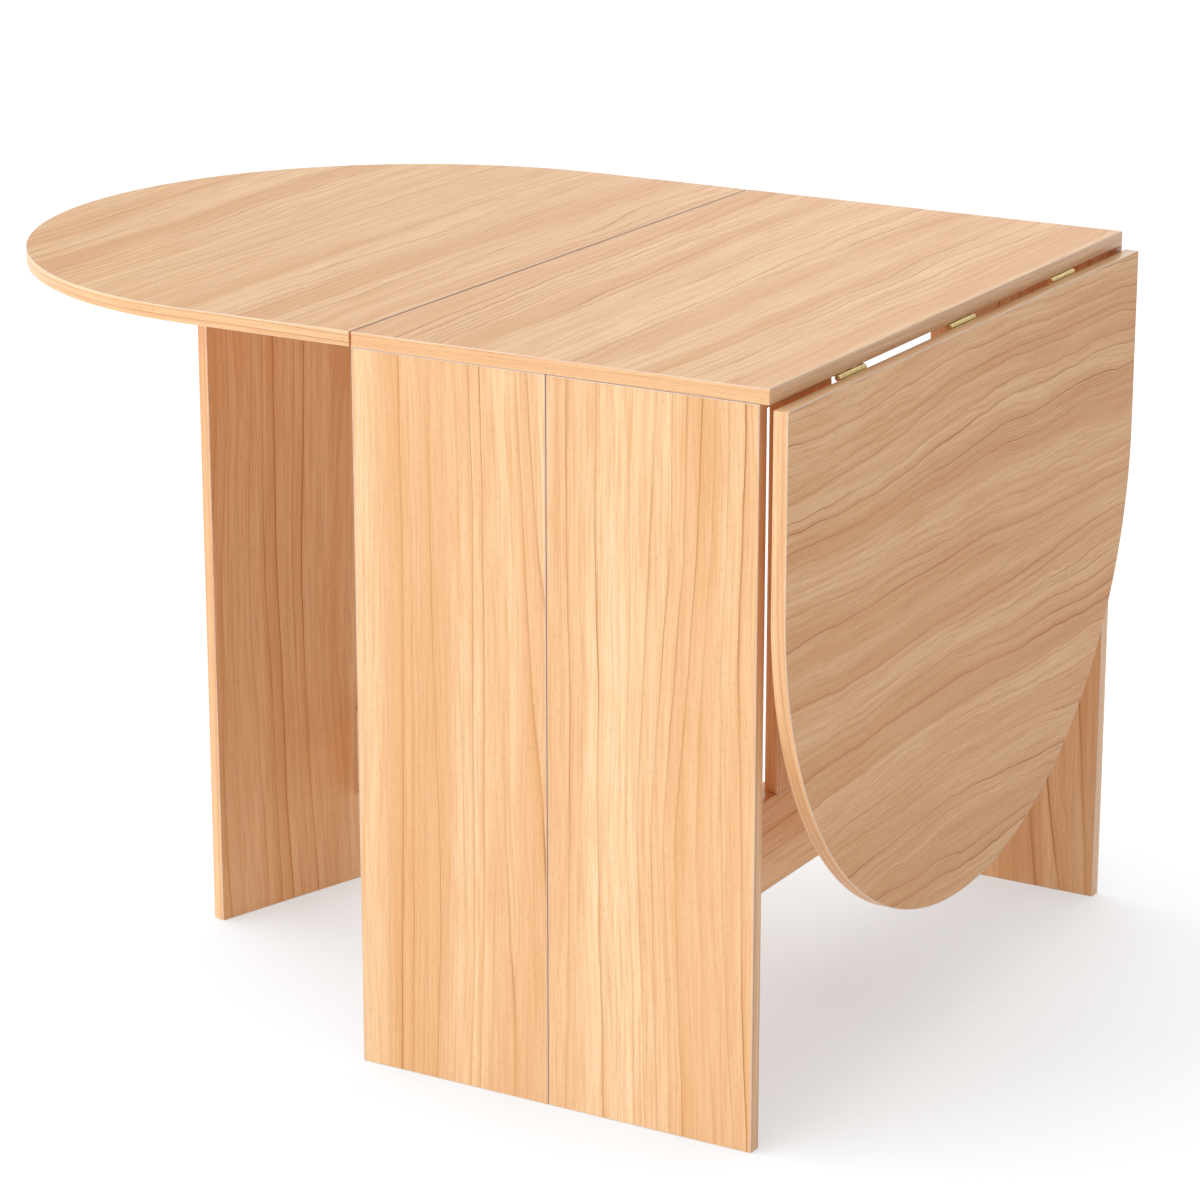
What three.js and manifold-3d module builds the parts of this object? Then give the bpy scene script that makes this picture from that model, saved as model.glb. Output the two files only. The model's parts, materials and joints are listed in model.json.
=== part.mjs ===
/**
 * Gateleg table: a narrow fixed centre, two drop leaves with half-round ends, and two swinging gates.
 *
 * Millimetres, +Z up. The front is towards -Y. The table stands as it does in use with one side open: the left
 * leaf is raised on its open gate, and the right leaf hangs beside its closed gate. The origin is on the floor,
 * in the middle of the footprint that the table has in that state.
 *
 * The table is the same on both sides after half a turn about the upright line through the centre of its top.
 * So one side is written once, as the right side, and the left side is that side turned by half a turn.
 */
import * as THREE from "three";
import { mergeVertices } from "three/addons/utils/BufferGeometryUtils.js";
import Module from "manifold-3d";

const wasm = await Module();
wasm.setup();

// Overall sizes.
const TABLE_HEIGHT = 750;
const TABLE_DEPTH = 800; // front to back, the same for the centre and the leaves
const CENTRE_WIDTH = 450; // left to right, of the fixed part of the top
const LEAF_STRAIGHT = 190; // the part of a leaf between its hinged edge and its half-round end
const BOARD = 15; // thickness of every board

// Gaps and clearances.
const FIT_GAP = 0.3; // between two pieces that are fastened together
const LEAF_GAP = 2; // between the centre top and a raised leaf
const SEAM_GAP = 1; // between an end panel and the closed gate leg beside it
const SPINE_END_GAP = 1; // between an end of the spine and the closed gate leg that covers it
const GATE_SIDE_GAP = 0.5; // between the spine and a closed gate
const GATE_END_GAP = 2; // between a gate rail and the fixed half rail in line with it
const GATE_HEADROOM = 0.5; // between a gate leg and the underside of the top
const HINGE_PASS_GAP = 6; // between a gate's upper rail and the leaf hinges that it swings under

// Where the boards stand.
const SEAM_OFFSET = 10; // from the centre line to the inner edge of an end panel
const LEG_INSET = 10; // from the edge of the centre top to the free edge of a closed gate leg
const RAIL_HEIGHT = 100;
const LOWER_RAIL_BASE = 100; // from the floor to the lower rails
const STILE_WIDTH = 110;
const PIVOT_OFFSET = 124; // from the middle of the table to a gate's pivot, front to back
const LEAF_SEGMENTS = 64; // flats round the half-round end of a leaf

// The state that the table stands in, as turns of the pivots.
const GATE_ANGLES = { right: 0, left: THREE.MathUtils.degToRad(73.3) };
const LEAF_ANGLES = { right: THREE.MathUtils.degToRad(90), left: 0 };

// Butt hinges. plateReach is from the pin's centre line to the far edge of a plate.
const LEAF_HINGE = { length: 56, plateReach: 27, plateThickness: 1.2, knuckleRadius: 2.8, pinRadius: 1.3 };
const GATE_HINGE = { length: 60, plateReach: 24, plateThickness: 1.2, knuckleRadius: 2.3, pinRadius: 1 };
const KNUCKLE_FACE_GAP = 0.2; // between the knuckles and the face of the boards that the plates lie on
const LEAF_HINGE_SPACING = 240; // from the middle leaf hinge to the next
const KNUCKLE_COUNT = 5;
const KNUCKLE_GAP = 0.4; // between neighbouring knuckles, along the pin
const KNUCKLE_CLEARANCE = 0.6; // between the knuckles of one plate and the edge of the other
const PIN_CLEARANCE = 0.25;
const HINGE_SCREW_INSET = 10; // from an end of a hinge plate to a screw hole
const HINGE_SCREW_RADIUS = 1.7;
const HINGE_SCREW_HEAD_RADIUS = 2.9;
const ROUND_SEGMENTS = 16; // flats round a knuckle or a cam
const SMALL_ROUND_SEGMENTS = 8; // flats round a pin or a screw hole

// Cam fittings, which pull the end of a rail against a panel or a leg.
const CAM_RADIUS = 7.5;
const CAM_INSET = 24; // from the end of the rail to the cam's centre
const CAM_WALL = 2; // board left behind a cam's pocket

// Angle brackets, which hold the centre top down to the end panels.
const BRACKET_ARM = 30;
const BRACKET_WIDTH = 18;
const BRACKET_THICKNESS = 2;
const BRACKET_HOLE_INSET = 20; // from the bend's outer face to a screw hole
const BRACKET_HOLE_RADIUS = 2.2;

/** The distance from the face of the boards that a hinge's plates lie on to its pin's centre line. */
const axisOffset = (hinge) => hinge.knuckleRadius + KNUCKLE_FACE_GAP;

// Sizes that follow from the ones above.
const underside = TABLE_HEIGHT - BOARD;
const halfWidth = CENTRE_WIDTH / 2;
const halfDepth = TABLE_DEPTH / 2;
const panelInnerFace = halfDepth - BOARD;
const leafLength = LEAF_STRAIGHT + halfDepth;
const railInnerFace = BOARD / 2 + GATE_SIDE_GAP;
const railOuterFace = railInnerFace + BOARD;
const pivotX = railOuterFace + axisOffset(GATE_HINGE);
const lowerRailTop = LOWER_RAIL_BASE + RAIL_HEIGHT;
const fixedUpperRailTop = underside - FIT_GAP;
const gateUpperRailTop = underside - axisOffset(LEAF_HINGE) - LEAF_HINGE.knuckleRadius - HINGE_PASS_GAP;
const leafAxisX = halfWidth + LEAF_GAP / 2;
const leafAxisZ = underside - axisOffset(LEAF_HINGE);
const camDepth = BOARD - CAM_WALL - FIT_GAP;

const FINISHES = {
  topBoard: { color: 0xe1be96, roughness: 0.42, metalness: 0 },
  panelBoard: { color: 0xe6b98a, roughness: 0.5, metalness: 0 },
  railBoard: { color: 0xd0a172, roughness: 0.5, metalness: 0 },
  brass: { color: 0xd8b866, roughness: 0.28, metalness: 1 },
  steel: { color: 0xb4b6b8, roughness: 0.35, metalness: 1 },
};

/** Makes a named mesh with a material of its own. */
function piece(name, geometry, finish) {
  const mesh = new THREE.Mesh(geometry, new THREE.MeshStandardMaterial(FINISHES[finish]));
  mesh.name = name;
  return mesh;
}

/** A box between two values on each axis. */
function boxGeometry([x0, x1], [y0, y1], [z0, z1]) {
  const geometry = new THREE.BoxGeometry(x1 - x0, y1 - y0, z1 - z0);
  return geometry.translate((x0 + x1) / 2, (y0 + y1) / 2, (z0 + z1) / 2);
}

/** A round bar along Y between two values. */
function barAlongY(radius, [y0, y1], segments) {
  return new THREE.CylinderGeometry(radius, radius, y1 - y0, segments).translate(0, (y0 + y1) / 2, 0);
}

/** Turns a closed three.js geometry into a solid that can be cut and joined. */
function toSolid(geometry) {
  const bare = geometry.clone();
  bare.deleteAttribute("normal");
  bare.deleteAttribute("uv");
  const merged = mergeVertices(bare);
  return new wasm.Manifold(
    new wasm.Mesh({
      numProp: 3,
      vertProperties: new Float32Array(merged.attributes.position.array),
      triVerts: new Uint32Array(merged.index.array),
    })
  );
}

/** Turns a solid back into a three.js geometry. */
function toGeometry(solid) {
  const mesh = solid.getMesh();
  const geometry = new THREE.BufferGeometry();
  geometry.setAttribute("position", new THREE.BufferAttribute(new Float32Array(mesh.vertProperties), 3));
  geometry.setIndex(new THREE.BufferAttribute(new Uint32Array(mesh.triVerts), 1));
  geometry.computeVertexNormals();
  return geometry;
}

/** Joins the first list of geometries into one solid and cuts every one of the second list out of it. */
function joinAndCut(joined, cut) {
  let solid = toSolid(joined[0]);
  for (const geometry of joined.slice(1)) {
    solid = solid.add(toSolid(geometry));
  }
  for (const geometry of cut) {
    solid = solid.subtract(toSolid(geometry));
  }
  return toGeometry(solid);
}

/** The stretches along the pin that the five knuckles take up. */
function knuckleSpans(hinge) {
  const pitch = (hinge.length + KNUCKLE_GAP) / KNUCKLE_COUNT;
  const start = -hinge.length / 2;
  return Array.from({ length: KNUCKLE_COUNT }, (_, i) => [
    start + i * pitch,
    start + (i + 1) * pitch - KNUCKLE_GAP,
  ]);
}

/** A countersunk screw hole through a hinge plate, with its wide mouth on the side of the pin. */
function plateScrewHole(hinge, x, y, plateBottom, plateTop) {
  const depth = plateTop - plateBottom;
  const mouth = new THREE.CylinderGeometry(
    HINGE_SCREW_RADIUS,
    HINGE_SCREW_HEAD_RADIUS,
    depth + 2 * FIT_GAP,
    SMALL_ROUND_SEGMENTS
  );
  return mouth.rotateX(Math.PI / 2).translate(x, y, (plateBottom + plateTop) / 2);
}

/**
 * One plate of a butt hinge with its knuckles. The pin is the Y axis, the plate reaches out along X by sign,
 * and the boards' face is at the axis offset above the pin.
 */
function hingePlate(hinge, sign, ownKnuckles) {
  const plateTop = axisOffset(hinge) - FIT_GAP;
  const plateBottom = plateTop - hinge.plateThickness;
  const rootX = hinge.knuckleRadius + KNUCKLE_CLEARANCE;
  const alongX = (near, far) => (sign > 0 ? [near, far] : [-far, -near]);
  const halfLength = hinge.length / 2;
  const joined = [
    boxGeometry(alongX(rootX, hinge.plateReach), [-halfLength, halfLength], [plateBottom, plateTop]),
  ];
  for (const span of knuckleSpans(hinge).filter((_, i) => ownKnuckles.includes(i))) {
    joined.push(barAlongY(hinge.knuckleRadius, span, ROUND_SEGMENTS));
    joined.push(boxGeometry(alongX(0, rootX + hinge.plateThickness), span, [plateBottom, plateTop]));
  }
  const bore = barAlongY(hinge.pinRadius + PIN_CLEARANCE, [-hinge.length, hinge.length], SMALL_ROUND_SEGMENTS);
  const screwX = (sign * (rootX + hinge.plateReach)) / 2;
  const screwY = halfLength - HINGE_SCREW_INSET;
  const holes = [-screwY, screwY].map((y) => plateScrewHole(hinge, screwX, y, plateBottom, plateTop));
  return joinAndCut(joined, [bore, ...holes]);
}

/** The fixed plate and the pin of a butt hinge, in the hinge's own frame. */
function hingeFixedPieces(hinge, name) {
  const halfLength = hinge.length / 2;
  return [
    piece(`${name}_fixed_plate`, hingePlate(hinge, -1, [0, 2, 4]), "brass"),
    piece(`${name}_pin`, barAlongY(hinge.pinRadius, [-halfLength, halfLength], SMALL_ROUND_SEGMENTS), "brass"),
  ];
}

/** The moving plate of a butt hinge, in the hinge's own frame. */
function hingeMovingPiece(hinge, name) {
  return piece(name, hingePlate(hinge, 1, [1, 3]), "brass");
}

/** A group that holds pieces at a place. */
function placed(pieces, x, y, z) {
  const group = new THREE.Group();
  pieces.forEach((each) => group.add(each));
  group.position.set(x, y, z);
  return group;
}

/** Stands a gate hinge upright at its place, with its plates on the outer faces of the rails. */
function standGateHinge(pieces, z) {
  const group = placed(pieces, 0, 0, z);
  const turn = new THREE.Matrix4().makeBasis(
    new THREE.Vector3(0, -1, 0),
    new THREE.Vector3(0, 0, 1),
    new THREE.Vector3(-1, 0, 0)
  );
  group.quaternion.setFromRotationMatrix(turn);
  return group;
}

/** A round bar along X, for a cam or its pocket, which goes in from the face at x = face by the given depth. */
function camBar(radius, face, depthIn, y, z) {
  const bar = new THREE.CylinderGeometry(radius, radius, Math.abs(depthIn), ROUND_SEGMENTS);
  return bar.rotateZ(Math.PI / 2).translate(face + depthIn / 2, y, z);
}

/**
 * A rail with the cam that holds one of its ends. inward is the direction along X that the cam goes in, from the
 * face at camFace. The pocket starts a little outside that face, so that it opens cleanly.
 */
function railWithCam(name, spanX, spanY, spanZ, camFace, inward, camY) {
  const camZ = (spanZ[0] + spanZ[1]) / 2;
  const pocketDepth = camDepth + 2 * FIT_GAP;
  const pocket = camBar(CAM_RADIUS + FIT_GAP, camFace - inward * FIT_GAP, inward * pocketDepth, camY, camZ);
  const cam = camBar(CAM_RADIUS, camFace, inward * camDepth, camY, camZ);
  return [
    piece(name, joinAndCut([boxGeometry(spanX, spanY, spanZ)], [pocket]), "railBoard"),
    piece(`${name}_cam`, cam, "steel"),
  ];
}

/** The upright faces that a rail in the gate's plane lies between. */
const railSpanX = [railInnerFace, railOuterFace];

/** The heights that the rails lie between. */
const lowerRailSpanZ = [LOWER_RAIL_BASE, lowerRailTop];
const fixedUpperRailSpanZ = [fixedUpperRailTop - RAIL_HEIGHT, fixedUpperRailTop];
const gateUpperRailSpanZ = [gateUpperRailTop - RAIL_HEIGHT, gateUpperRailTop];

/** The heights of the middles of the two gate hinges, each where the gate's rail and the fixed rail both reach. */
const gateHingeHeights = {
  lower: (lowerRailSpanZ[0] + lowerRailSpanZ[1]) / 2,
  upper: (fixedUpperRailSpanZ[0] + gateUpperRailSpanZ[1]) / 2,
};

/** The angle bracket in the corner between an end panel and the top. */
function angleBracket(name) {
  const x = (SEAM_OFFSET + halfWidth) / 2;
  const spanX = [x - BRACKET_WIDTH / 2, x + BRACKET_WIDTH / 2];
  const back = panelInnerFace - FIT_GAP;
  const top = underside - FIT_GAP;
  const upright = boxGeometry(spanX, [back - BRACKET_THICKNESS, back], [top - BRACKET_ARM, top]);
  const level = boxGeometry(spanX, [back - BRACKET_ARM, back], [top - BRACKET_THICKNESS, top]);
  const bar = new THREE.CylinderGeometry(
    BRACKET_HOLE_RADIUS,
    BRACKET_HOLE_RADIUS,
    2 * BRACKET_ARM,
    SMALL_ROUND_SEGMENTS
  );
  const holeThroughUpright = bar.clone().translate(x, back, top - BRACKET_HOLE_INSET);
  const holeThroughLevel = bar.clone().rotateX(Math.PI / 2).translate(x, back - BRACKET_HOLE_INSET, top);
  return piece(name, joinAndCut([upright, level], [holeThroughUpright, holeThroughLevel]), "steel");
}

/** The fixed pieces of one side: its end panel, the half rails behind its gate, and their fittings. */
function fixedPieces(side, panelName) {
  const spanY = [PIVOT_OFFSET + GATE_END_GAP / 2, panelInnerFace - FIT_GAP];
  const camY = spanY[1] - CAM_INSET;
  const rail = (level, spanZ) =>
    railWithCam(`${side}_${level}_half_rail`, railSpanX, spanY, spanZ, railOuterFace, -1, camY);
  const panel = boxGeometry([SEAM_OFFSET, halfWidth], [panelInnerFace, halfDepth], [0, underside - FIT_GAP]);
  return [
    piece(panelName, panel, "panelBoard"),
    ...rail("lower", lowerRailSpanZ),
    ...rail("upper", fixedUpperRailSpanZ),
    angleBracket(`${side}_top_bracket`),
  ];
}

/** The pieces of one closed gate, measured from its pivot: the leg, two rails and the stile between them. */
function gatePieces(side) {
  const spanX = railSpanX.map((x) => x - pivotX);
  const legSpanX = [-SEAM_OFFSET + SEAM_GAP - pivotX, halfWidth - LEG_INSET - pivotX];
  const legSpanY = [-halfDepth - PIVOT_OFFSET, -panelInnerFace - PIVOT_OFFSET];
  const railSpanY = [legSpanY[1] + FIT_GAP, -GATE_END_GAP / 2];
  const stileSpanY = [railSpanY[1] - STILE_WIDTH, railSpanY[1]];
  const stileSpanZ = [lowerRailTop + FIT_GAP, gateUpperRailSpanZ[0] - FIT_GAP];
  const camY = railSpanY[0] + CAM_INSET;
  const rail = (level, spanZ) =>
    railWithCam(`${side}_gate_${level}_rail`, spanX, railSpanY, spanZ, spanX[0], 1, camY);
  return [
    piece(`${side}_gate_leg`, boxGeometry(legSpanX, legSpanY, [0, underside - GATE_HEADROOM]), "panelBoard"),
    ...rail("lower", lowerRailSpanZ),
    ...rail("upper", gateUpperRailSpanZ),
    piece(`${side}_gate_stile`, boxGeometry(spanX, stileSpanY, stileSpanZ), "railBoard"),
  ];
}

/** One gate at its pivot, turned by the given angle, with the fixed halves of its hinges beside it. */
function gateAtPivot(side, angle) {
  const swinging = placed(gatePieces(side), pivotX, PIVOT_OFFSET, 0);
  const fixed = placed([], pivotX, PIVOT_OFFSET, 0);
  for (const [level, z] of Object.entries(gateHingeHeights)) {
    const name = `${side}_gate_hinge_${level}`;
    swinging.add(standGateHinge([hingeMovingPiece(GATE_HINGE, `${name}_gate_plate`)], z));
    fixed.add(standGateHinge(hingeFixedPieces(GATE_HINGE, name), z));
  }
  swinging.rotation.z = angle;
  return [swinging, fixed];
}

/** The outline of a leaf, seen from above, with its hinged edge along Y at x = start. */
function leafOutline(start) {
  const arcCentre = start + LEAF_STRAIGHT;
  const outline = new THREE.Shape();
  outline.moveTo(start, -halfDepth);
  outline.lineTo(arcCentre, -halfDepth);
  outline.absarc(arcCentre, 0, halfDepth, -Math.PI / 2, Math.PI / 2, false);
  outline.lineTo(start, halfDepth);
  return outline;
}

/** One leaf on its hinge line, turned down by the given angle, with the fixed halves of its hinges beside it. */
function leafOnHinges(side, angle) {
  const board = new THREE.ExtrudeGeometry(leafOutline(LEAF_GAP / 2), {
    depth: BOARD,
    bevelEnabled: false,
    curveSegments: LEAF_SEGMENTS,
  });
  board.translate(0, 0, axisOffset(LEAF_HINGE));
  const folding = placed([piece(`${side}_leaf`, board, "topBoard")], leafAxisX, 0, leafAxisZ);
  const fixed = placed([], leafAxisX, 0, leafAxisZ);
  const order = side === "right" ? ["front", "middle", "back"] : ["back", "middle", "front"];
  order.forEach((place, i) => {
    const y = (i - 1) * LEAF_HINGE_SPACING;
    const name = `${side}_leaf_hinge_${place}`;
    folding.add(placed([hingeMovingPiece(LEAF_HINGE, `${name}_leaf_plate`)], 0, y, 0));
    fixed.add(placed(hingeFixedPieces(LEAF_HINGE, name), 0, y, 0));
  });
  folding.rotation.y = angle;
  return [folding, fixed];
}

/** One whole side of the table. */
function tableSide(side, panelName) {
  const group = new THREE.Group();
  group.add(...fixedPieces(side, panelName));
  group.add(...gateAtPivot(side, GATE_ANGLES[side]));
  group.add(...leafOnHinges(side, LEAF_ANGLES[side]));
  return group;
}

/** The boards on the centre line: the top and the two rails of the spine. */
function centrePieces() {
  const spineSpanX = [-BOARD / 2, BOARD / 2];
  const spineEnd = panelInnerFace - SPINE_END_GAP;
  const spineSpanY = [-spineEnd, spineEnd];
  const top = boxGeometry([-halfWidth, halfWidth], [-halfDepth, halfDepth], [underside, TABLE_HEIGHT]);
  return [
    piece("centre_top", top, "topBoard"),
    piece("spine_lower_rail", boxGeometry(spineSpanX, spineSpanY, lowerRailSpanZ), "railBoard"),
    piece("spine_upper_rail", boxGeometry(spineSpanX, spineSpanY, fixedUpperRailSpanZ), "railBoard"),
  ];
}

const table = new THREE.Group();
const leftSide = tableSide("left", "front_end_panel");
leftSide.rotation.z = Math.PI;
table.add(...centrePieces(), tableSide("right", "back_end_panel"), leftSide);

// The footprint runs from the tip of the raised left leaf to the outer face of the hanging right leaf.
const leftReach = halfWidth + LEAF_GAP + leafLength;
const rightReach = leafAxisX + axisOffset(LEAF_HINGE) + BOARD;
table.position.x = (leftReach - rightReach) / 2;

export default table;
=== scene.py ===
"""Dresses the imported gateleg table: boards with edge banding, hinges, screws, cam fittings and a studio.

Every size and place comes from the frame's boxes and joints, in metres. The table is the same on both sides
after half a turn about the upright line through its centre. So each side's pieces are made as right-hand
pieces, in the places that they have on the right side, and Stance carries them over to the left side.
"""

import json
import logging
import math
from abc import ABC, abstractmethod
from dataclasses import dataclass
from enum import Enum
from typing import Any, Iterable, Sequence

import bpy
from mathutils import Matrix, Vector


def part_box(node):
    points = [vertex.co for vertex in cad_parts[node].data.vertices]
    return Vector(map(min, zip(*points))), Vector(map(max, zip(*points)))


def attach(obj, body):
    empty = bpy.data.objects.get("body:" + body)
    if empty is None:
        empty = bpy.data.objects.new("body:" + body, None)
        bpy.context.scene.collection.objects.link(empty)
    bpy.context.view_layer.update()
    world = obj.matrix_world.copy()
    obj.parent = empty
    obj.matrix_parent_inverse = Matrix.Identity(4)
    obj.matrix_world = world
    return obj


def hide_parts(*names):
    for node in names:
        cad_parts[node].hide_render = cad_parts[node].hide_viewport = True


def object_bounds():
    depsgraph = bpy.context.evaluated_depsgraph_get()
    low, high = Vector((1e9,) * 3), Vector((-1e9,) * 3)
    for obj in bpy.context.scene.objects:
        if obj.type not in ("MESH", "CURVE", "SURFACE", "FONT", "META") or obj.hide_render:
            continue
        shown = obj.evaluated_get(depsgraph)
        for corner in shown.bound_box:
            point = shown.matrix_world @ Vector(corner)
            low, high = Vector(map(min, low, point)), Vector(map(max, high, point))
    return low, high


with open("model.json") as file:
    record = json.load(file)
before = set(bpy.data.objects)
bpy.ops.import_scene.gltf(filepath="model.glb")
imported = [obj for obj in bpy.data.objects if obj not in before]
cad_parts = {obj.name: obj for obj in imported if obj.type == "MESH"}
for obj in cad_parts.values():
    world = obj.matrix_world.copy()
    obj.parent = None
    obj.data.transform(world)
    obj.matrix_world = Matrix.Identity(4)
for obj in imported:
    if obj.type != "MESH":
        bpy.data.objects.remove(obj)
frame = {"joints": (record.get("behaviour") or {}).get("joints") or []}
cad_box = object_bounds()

MM = 0.001
log = logging.getLogger("gateleg_table")

Mesh = bpy.types.Mesh
Point = tuple[float, float]
Ring = tuple[float, float]


class Side(Enum):
    """The two sides of the table, named as a person at its front sees them."""

    RIGHT = "right"
    LEFT = "left"


class Level(Enum):
    """The two heights at which the rails run."""

    LOWER = "lower"
    UPPER = "upper"


class Axis(Enum):
    """The axes of the table."""

    X = 0
    Y = 1
    Z = 2

    @property
    def direction(self) -> Vector:
        """The unit vector along this axis."""
        return Vector([1.0 if i == self.value else 0.0 for i in range(3)])


# ---- Materials ----


def linear(hex_code: str) -> tuple[float, float, float, float]:
    """Turns a screen colour into a linear one.

    Args:
        hex_code: six hexadecimal digits, red first.

    Returns:
        The linear red, green and blue, and an alpha of 1.
    """
    channels = [int(hex_code[i : i + 2], 16) / 255 for i in (0, 2, 4)]
    red, green, blue = [c / 12.92 if c <= 0.04045 else ((c + 0.055) / 1.055) ** 2.4 for c in channels]
    return red, green, blue, 1.0


class NodeSheet:
    """A node tree, with short ways to add nodes and join them."""

    def __init__(self, tree: Any, seed: float = 0.0) -> None:
        """Starts with an empty tree.

        Args:
            tree: the node tree of a material or a world.
            seed: sets which stretch of each pattern shows.
        """
        self.tree = tree
        self.seed = seed
        self.tree.nodes.clear()

    def add(self, kind: str, **settings: Any) -> Any:
        """Adds a node.

        Args:
            kind: the node's type, without its "ShaderNode" prefix.
            **settings: attributes of the node.

        Returns:
            The new node.
        """
        node = self.tree.nodes.new("ShaderNode" + kind)
        for key, value in settings.items():
            setattr(node, key, value)
        return node

    def feed(self, socket: Any, value: Any) -> None:
        """Links a value to an input socket if it is an output socket, and sets it there otherwise.

        Args:
            socket: the input socket.
            value: an output socket, a number or a sequence of numbers.
        """
        if isinstance(value, bpy.types.NodeSocket):
            self.tree.links.new(value, socket)
        else:
            socket.default_value = value

    def place(self) -> Any:
        """The socket of the place in the piece's own frame."""
        return self.add("TexCoord").outputs["Object"]

    def split(self, vector: Any) -> Sequence[Any]:
        """Takes a vector apart.

        Args:
            vector: the vector's socket.

        Returns:
            The sockets of its three numbers.
        """
        node = self.add("SeparateXYZ")
        self.feed(node.inputs[0], vector)
        return node.outputs

    def join(self, first: Any, second: Any) -> Any:
        """Makes a flat vector.

        Args:
            first: its first number.
            second: its second number.

        Returns:
            The vector's socket.
        """
        node = self.add("CombineXYZ")
        self.feed(node.inputs[0], first)
        self.feed(node.inputs[1], second)
        return node.outputs[0]

    def math(self, operation: str, *values: Any) -> Any:
        """Adds a Math node.

        Args:
            operation: the operation's name, such as "ADD".
            *values: its operands, as numbers or sockets.

        Returns:
            The result's socket.
        """
        node = self.add("Math", operation=operation)
        for socket, value in zip(node.inputs, values):
            self.feed(socket, value)
        return node.outputs[0]

    def ramp(self, value: Any, low: float, high: float, start: float = 0.0, end: float = 1.0) -> Any:
        """Goes smoothly from one value to another.

        Args:
            value: the socket to read.
            low: where the change starts.
            high: where the change ends.
            start: the result up to low.
            end: the result from high on.

        Returns:
            The result's socket.
        """
        node = self.add("MapRange", interpolation_type="SMOOTHSTEP")
        names = ("Value", "From Min", "From Max", "To Min", "To Max")
        for name, number in zip(names, (value, low, high, start, end)):
            self.feed(node.inputs[name], number)
        return node.outputs["Result"]

    def blend(self, factor: Any, first: Any, second: Any) -> Any:
        """Mixes two colours.

        Args:
            factor: how much of the second colour shows.
            first: the first colour.
            second: the second colour.

        Returns:
            The mixed colour's socket.
        """
        node = self.add("Mix", data_type="RGBA")
        for name, value in (("Factor_Float", factor), ("A_Color", first), ("B_Color", second)):
            self.feed(next(s for s in node.inputs if s.identifier == name), value)
        return next(s for s in node.outputs if s.identifier == "Result_Color")

    def noise(self, vector: Any, scale: Sequence[float], shift: float = 0.0, detail: float = 1.0) -> Any:
        """Reads smooth noise at a stretched place.

        Args:
            vector: the place, in metres.
            scale: how many noise cells a metre holds along each axis.
            shift: is added to the seed, so that no two readings are alike.
            detail: how many finer layers are added.

        Returns:
            The noise value's socket, around 0.5.
        """
        start = self.seed + shift
        place = self.add("VectorMath", operation="MULTIPLY_ADD")
        for socket, value in zip(place.inputs, (vector, scale, (start, 1.7 * start, 0.6 * start))):
            self.feed(socket, value)
        node = self.add("TexNoise")
        for name, value in (("Vector", place.outputs[0]), ("Scale", 1.0), ("Detail", detail)):
            self.feed(node.inputs[name], value)
        return node.outputs["Fac"]

    def bump(self, height: Any, distance: float, strength: float) -> Any:
        """Turns a height into a shading normal.

        Args:
            height: the height's socket.
            distance: what a height of 1 measures, in metres.
            strength: how much of the effect shows.

        Returns:
            The normal's socket.
        """
        node = self.add("Bump")
        for name, value in (("Height", height), ("Distance", distance), ("Strength", strength)):
            self.feed(node.inputs[name], value)
        return node.outputs["Normal"]


class Finish(ABC):
    """A finish that makes materials."""

    def material(self, name: str, seed: float) -> bpy.types.Material:
        """Makes one material.

        Args:
            name: the material's name.
            seed: sets which stretch of the pattern shows.

        Returns:
            The material.
        """
        material = bpy.data.materials.new(name)
        material.use_nodes = True
        sheet = NodeSheet(material.node_tree, seed)
        shader = sheet.add("BsdfPrincipled")
        for key, value in self.draw(sheet).items():
            sheet.feed(shader.inputs[key], value)
        sheet.feed(sheet.add("OutputMaterial").inputs["Surface"], shader.outputs[0])
        return material

    @abstractmethod
    def draw(self, sheet: NodeSheet) -> dict[str, Any]:
        """Draws the pattern on a material's sheet, and returns the shader's inputs by name."""


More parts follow.
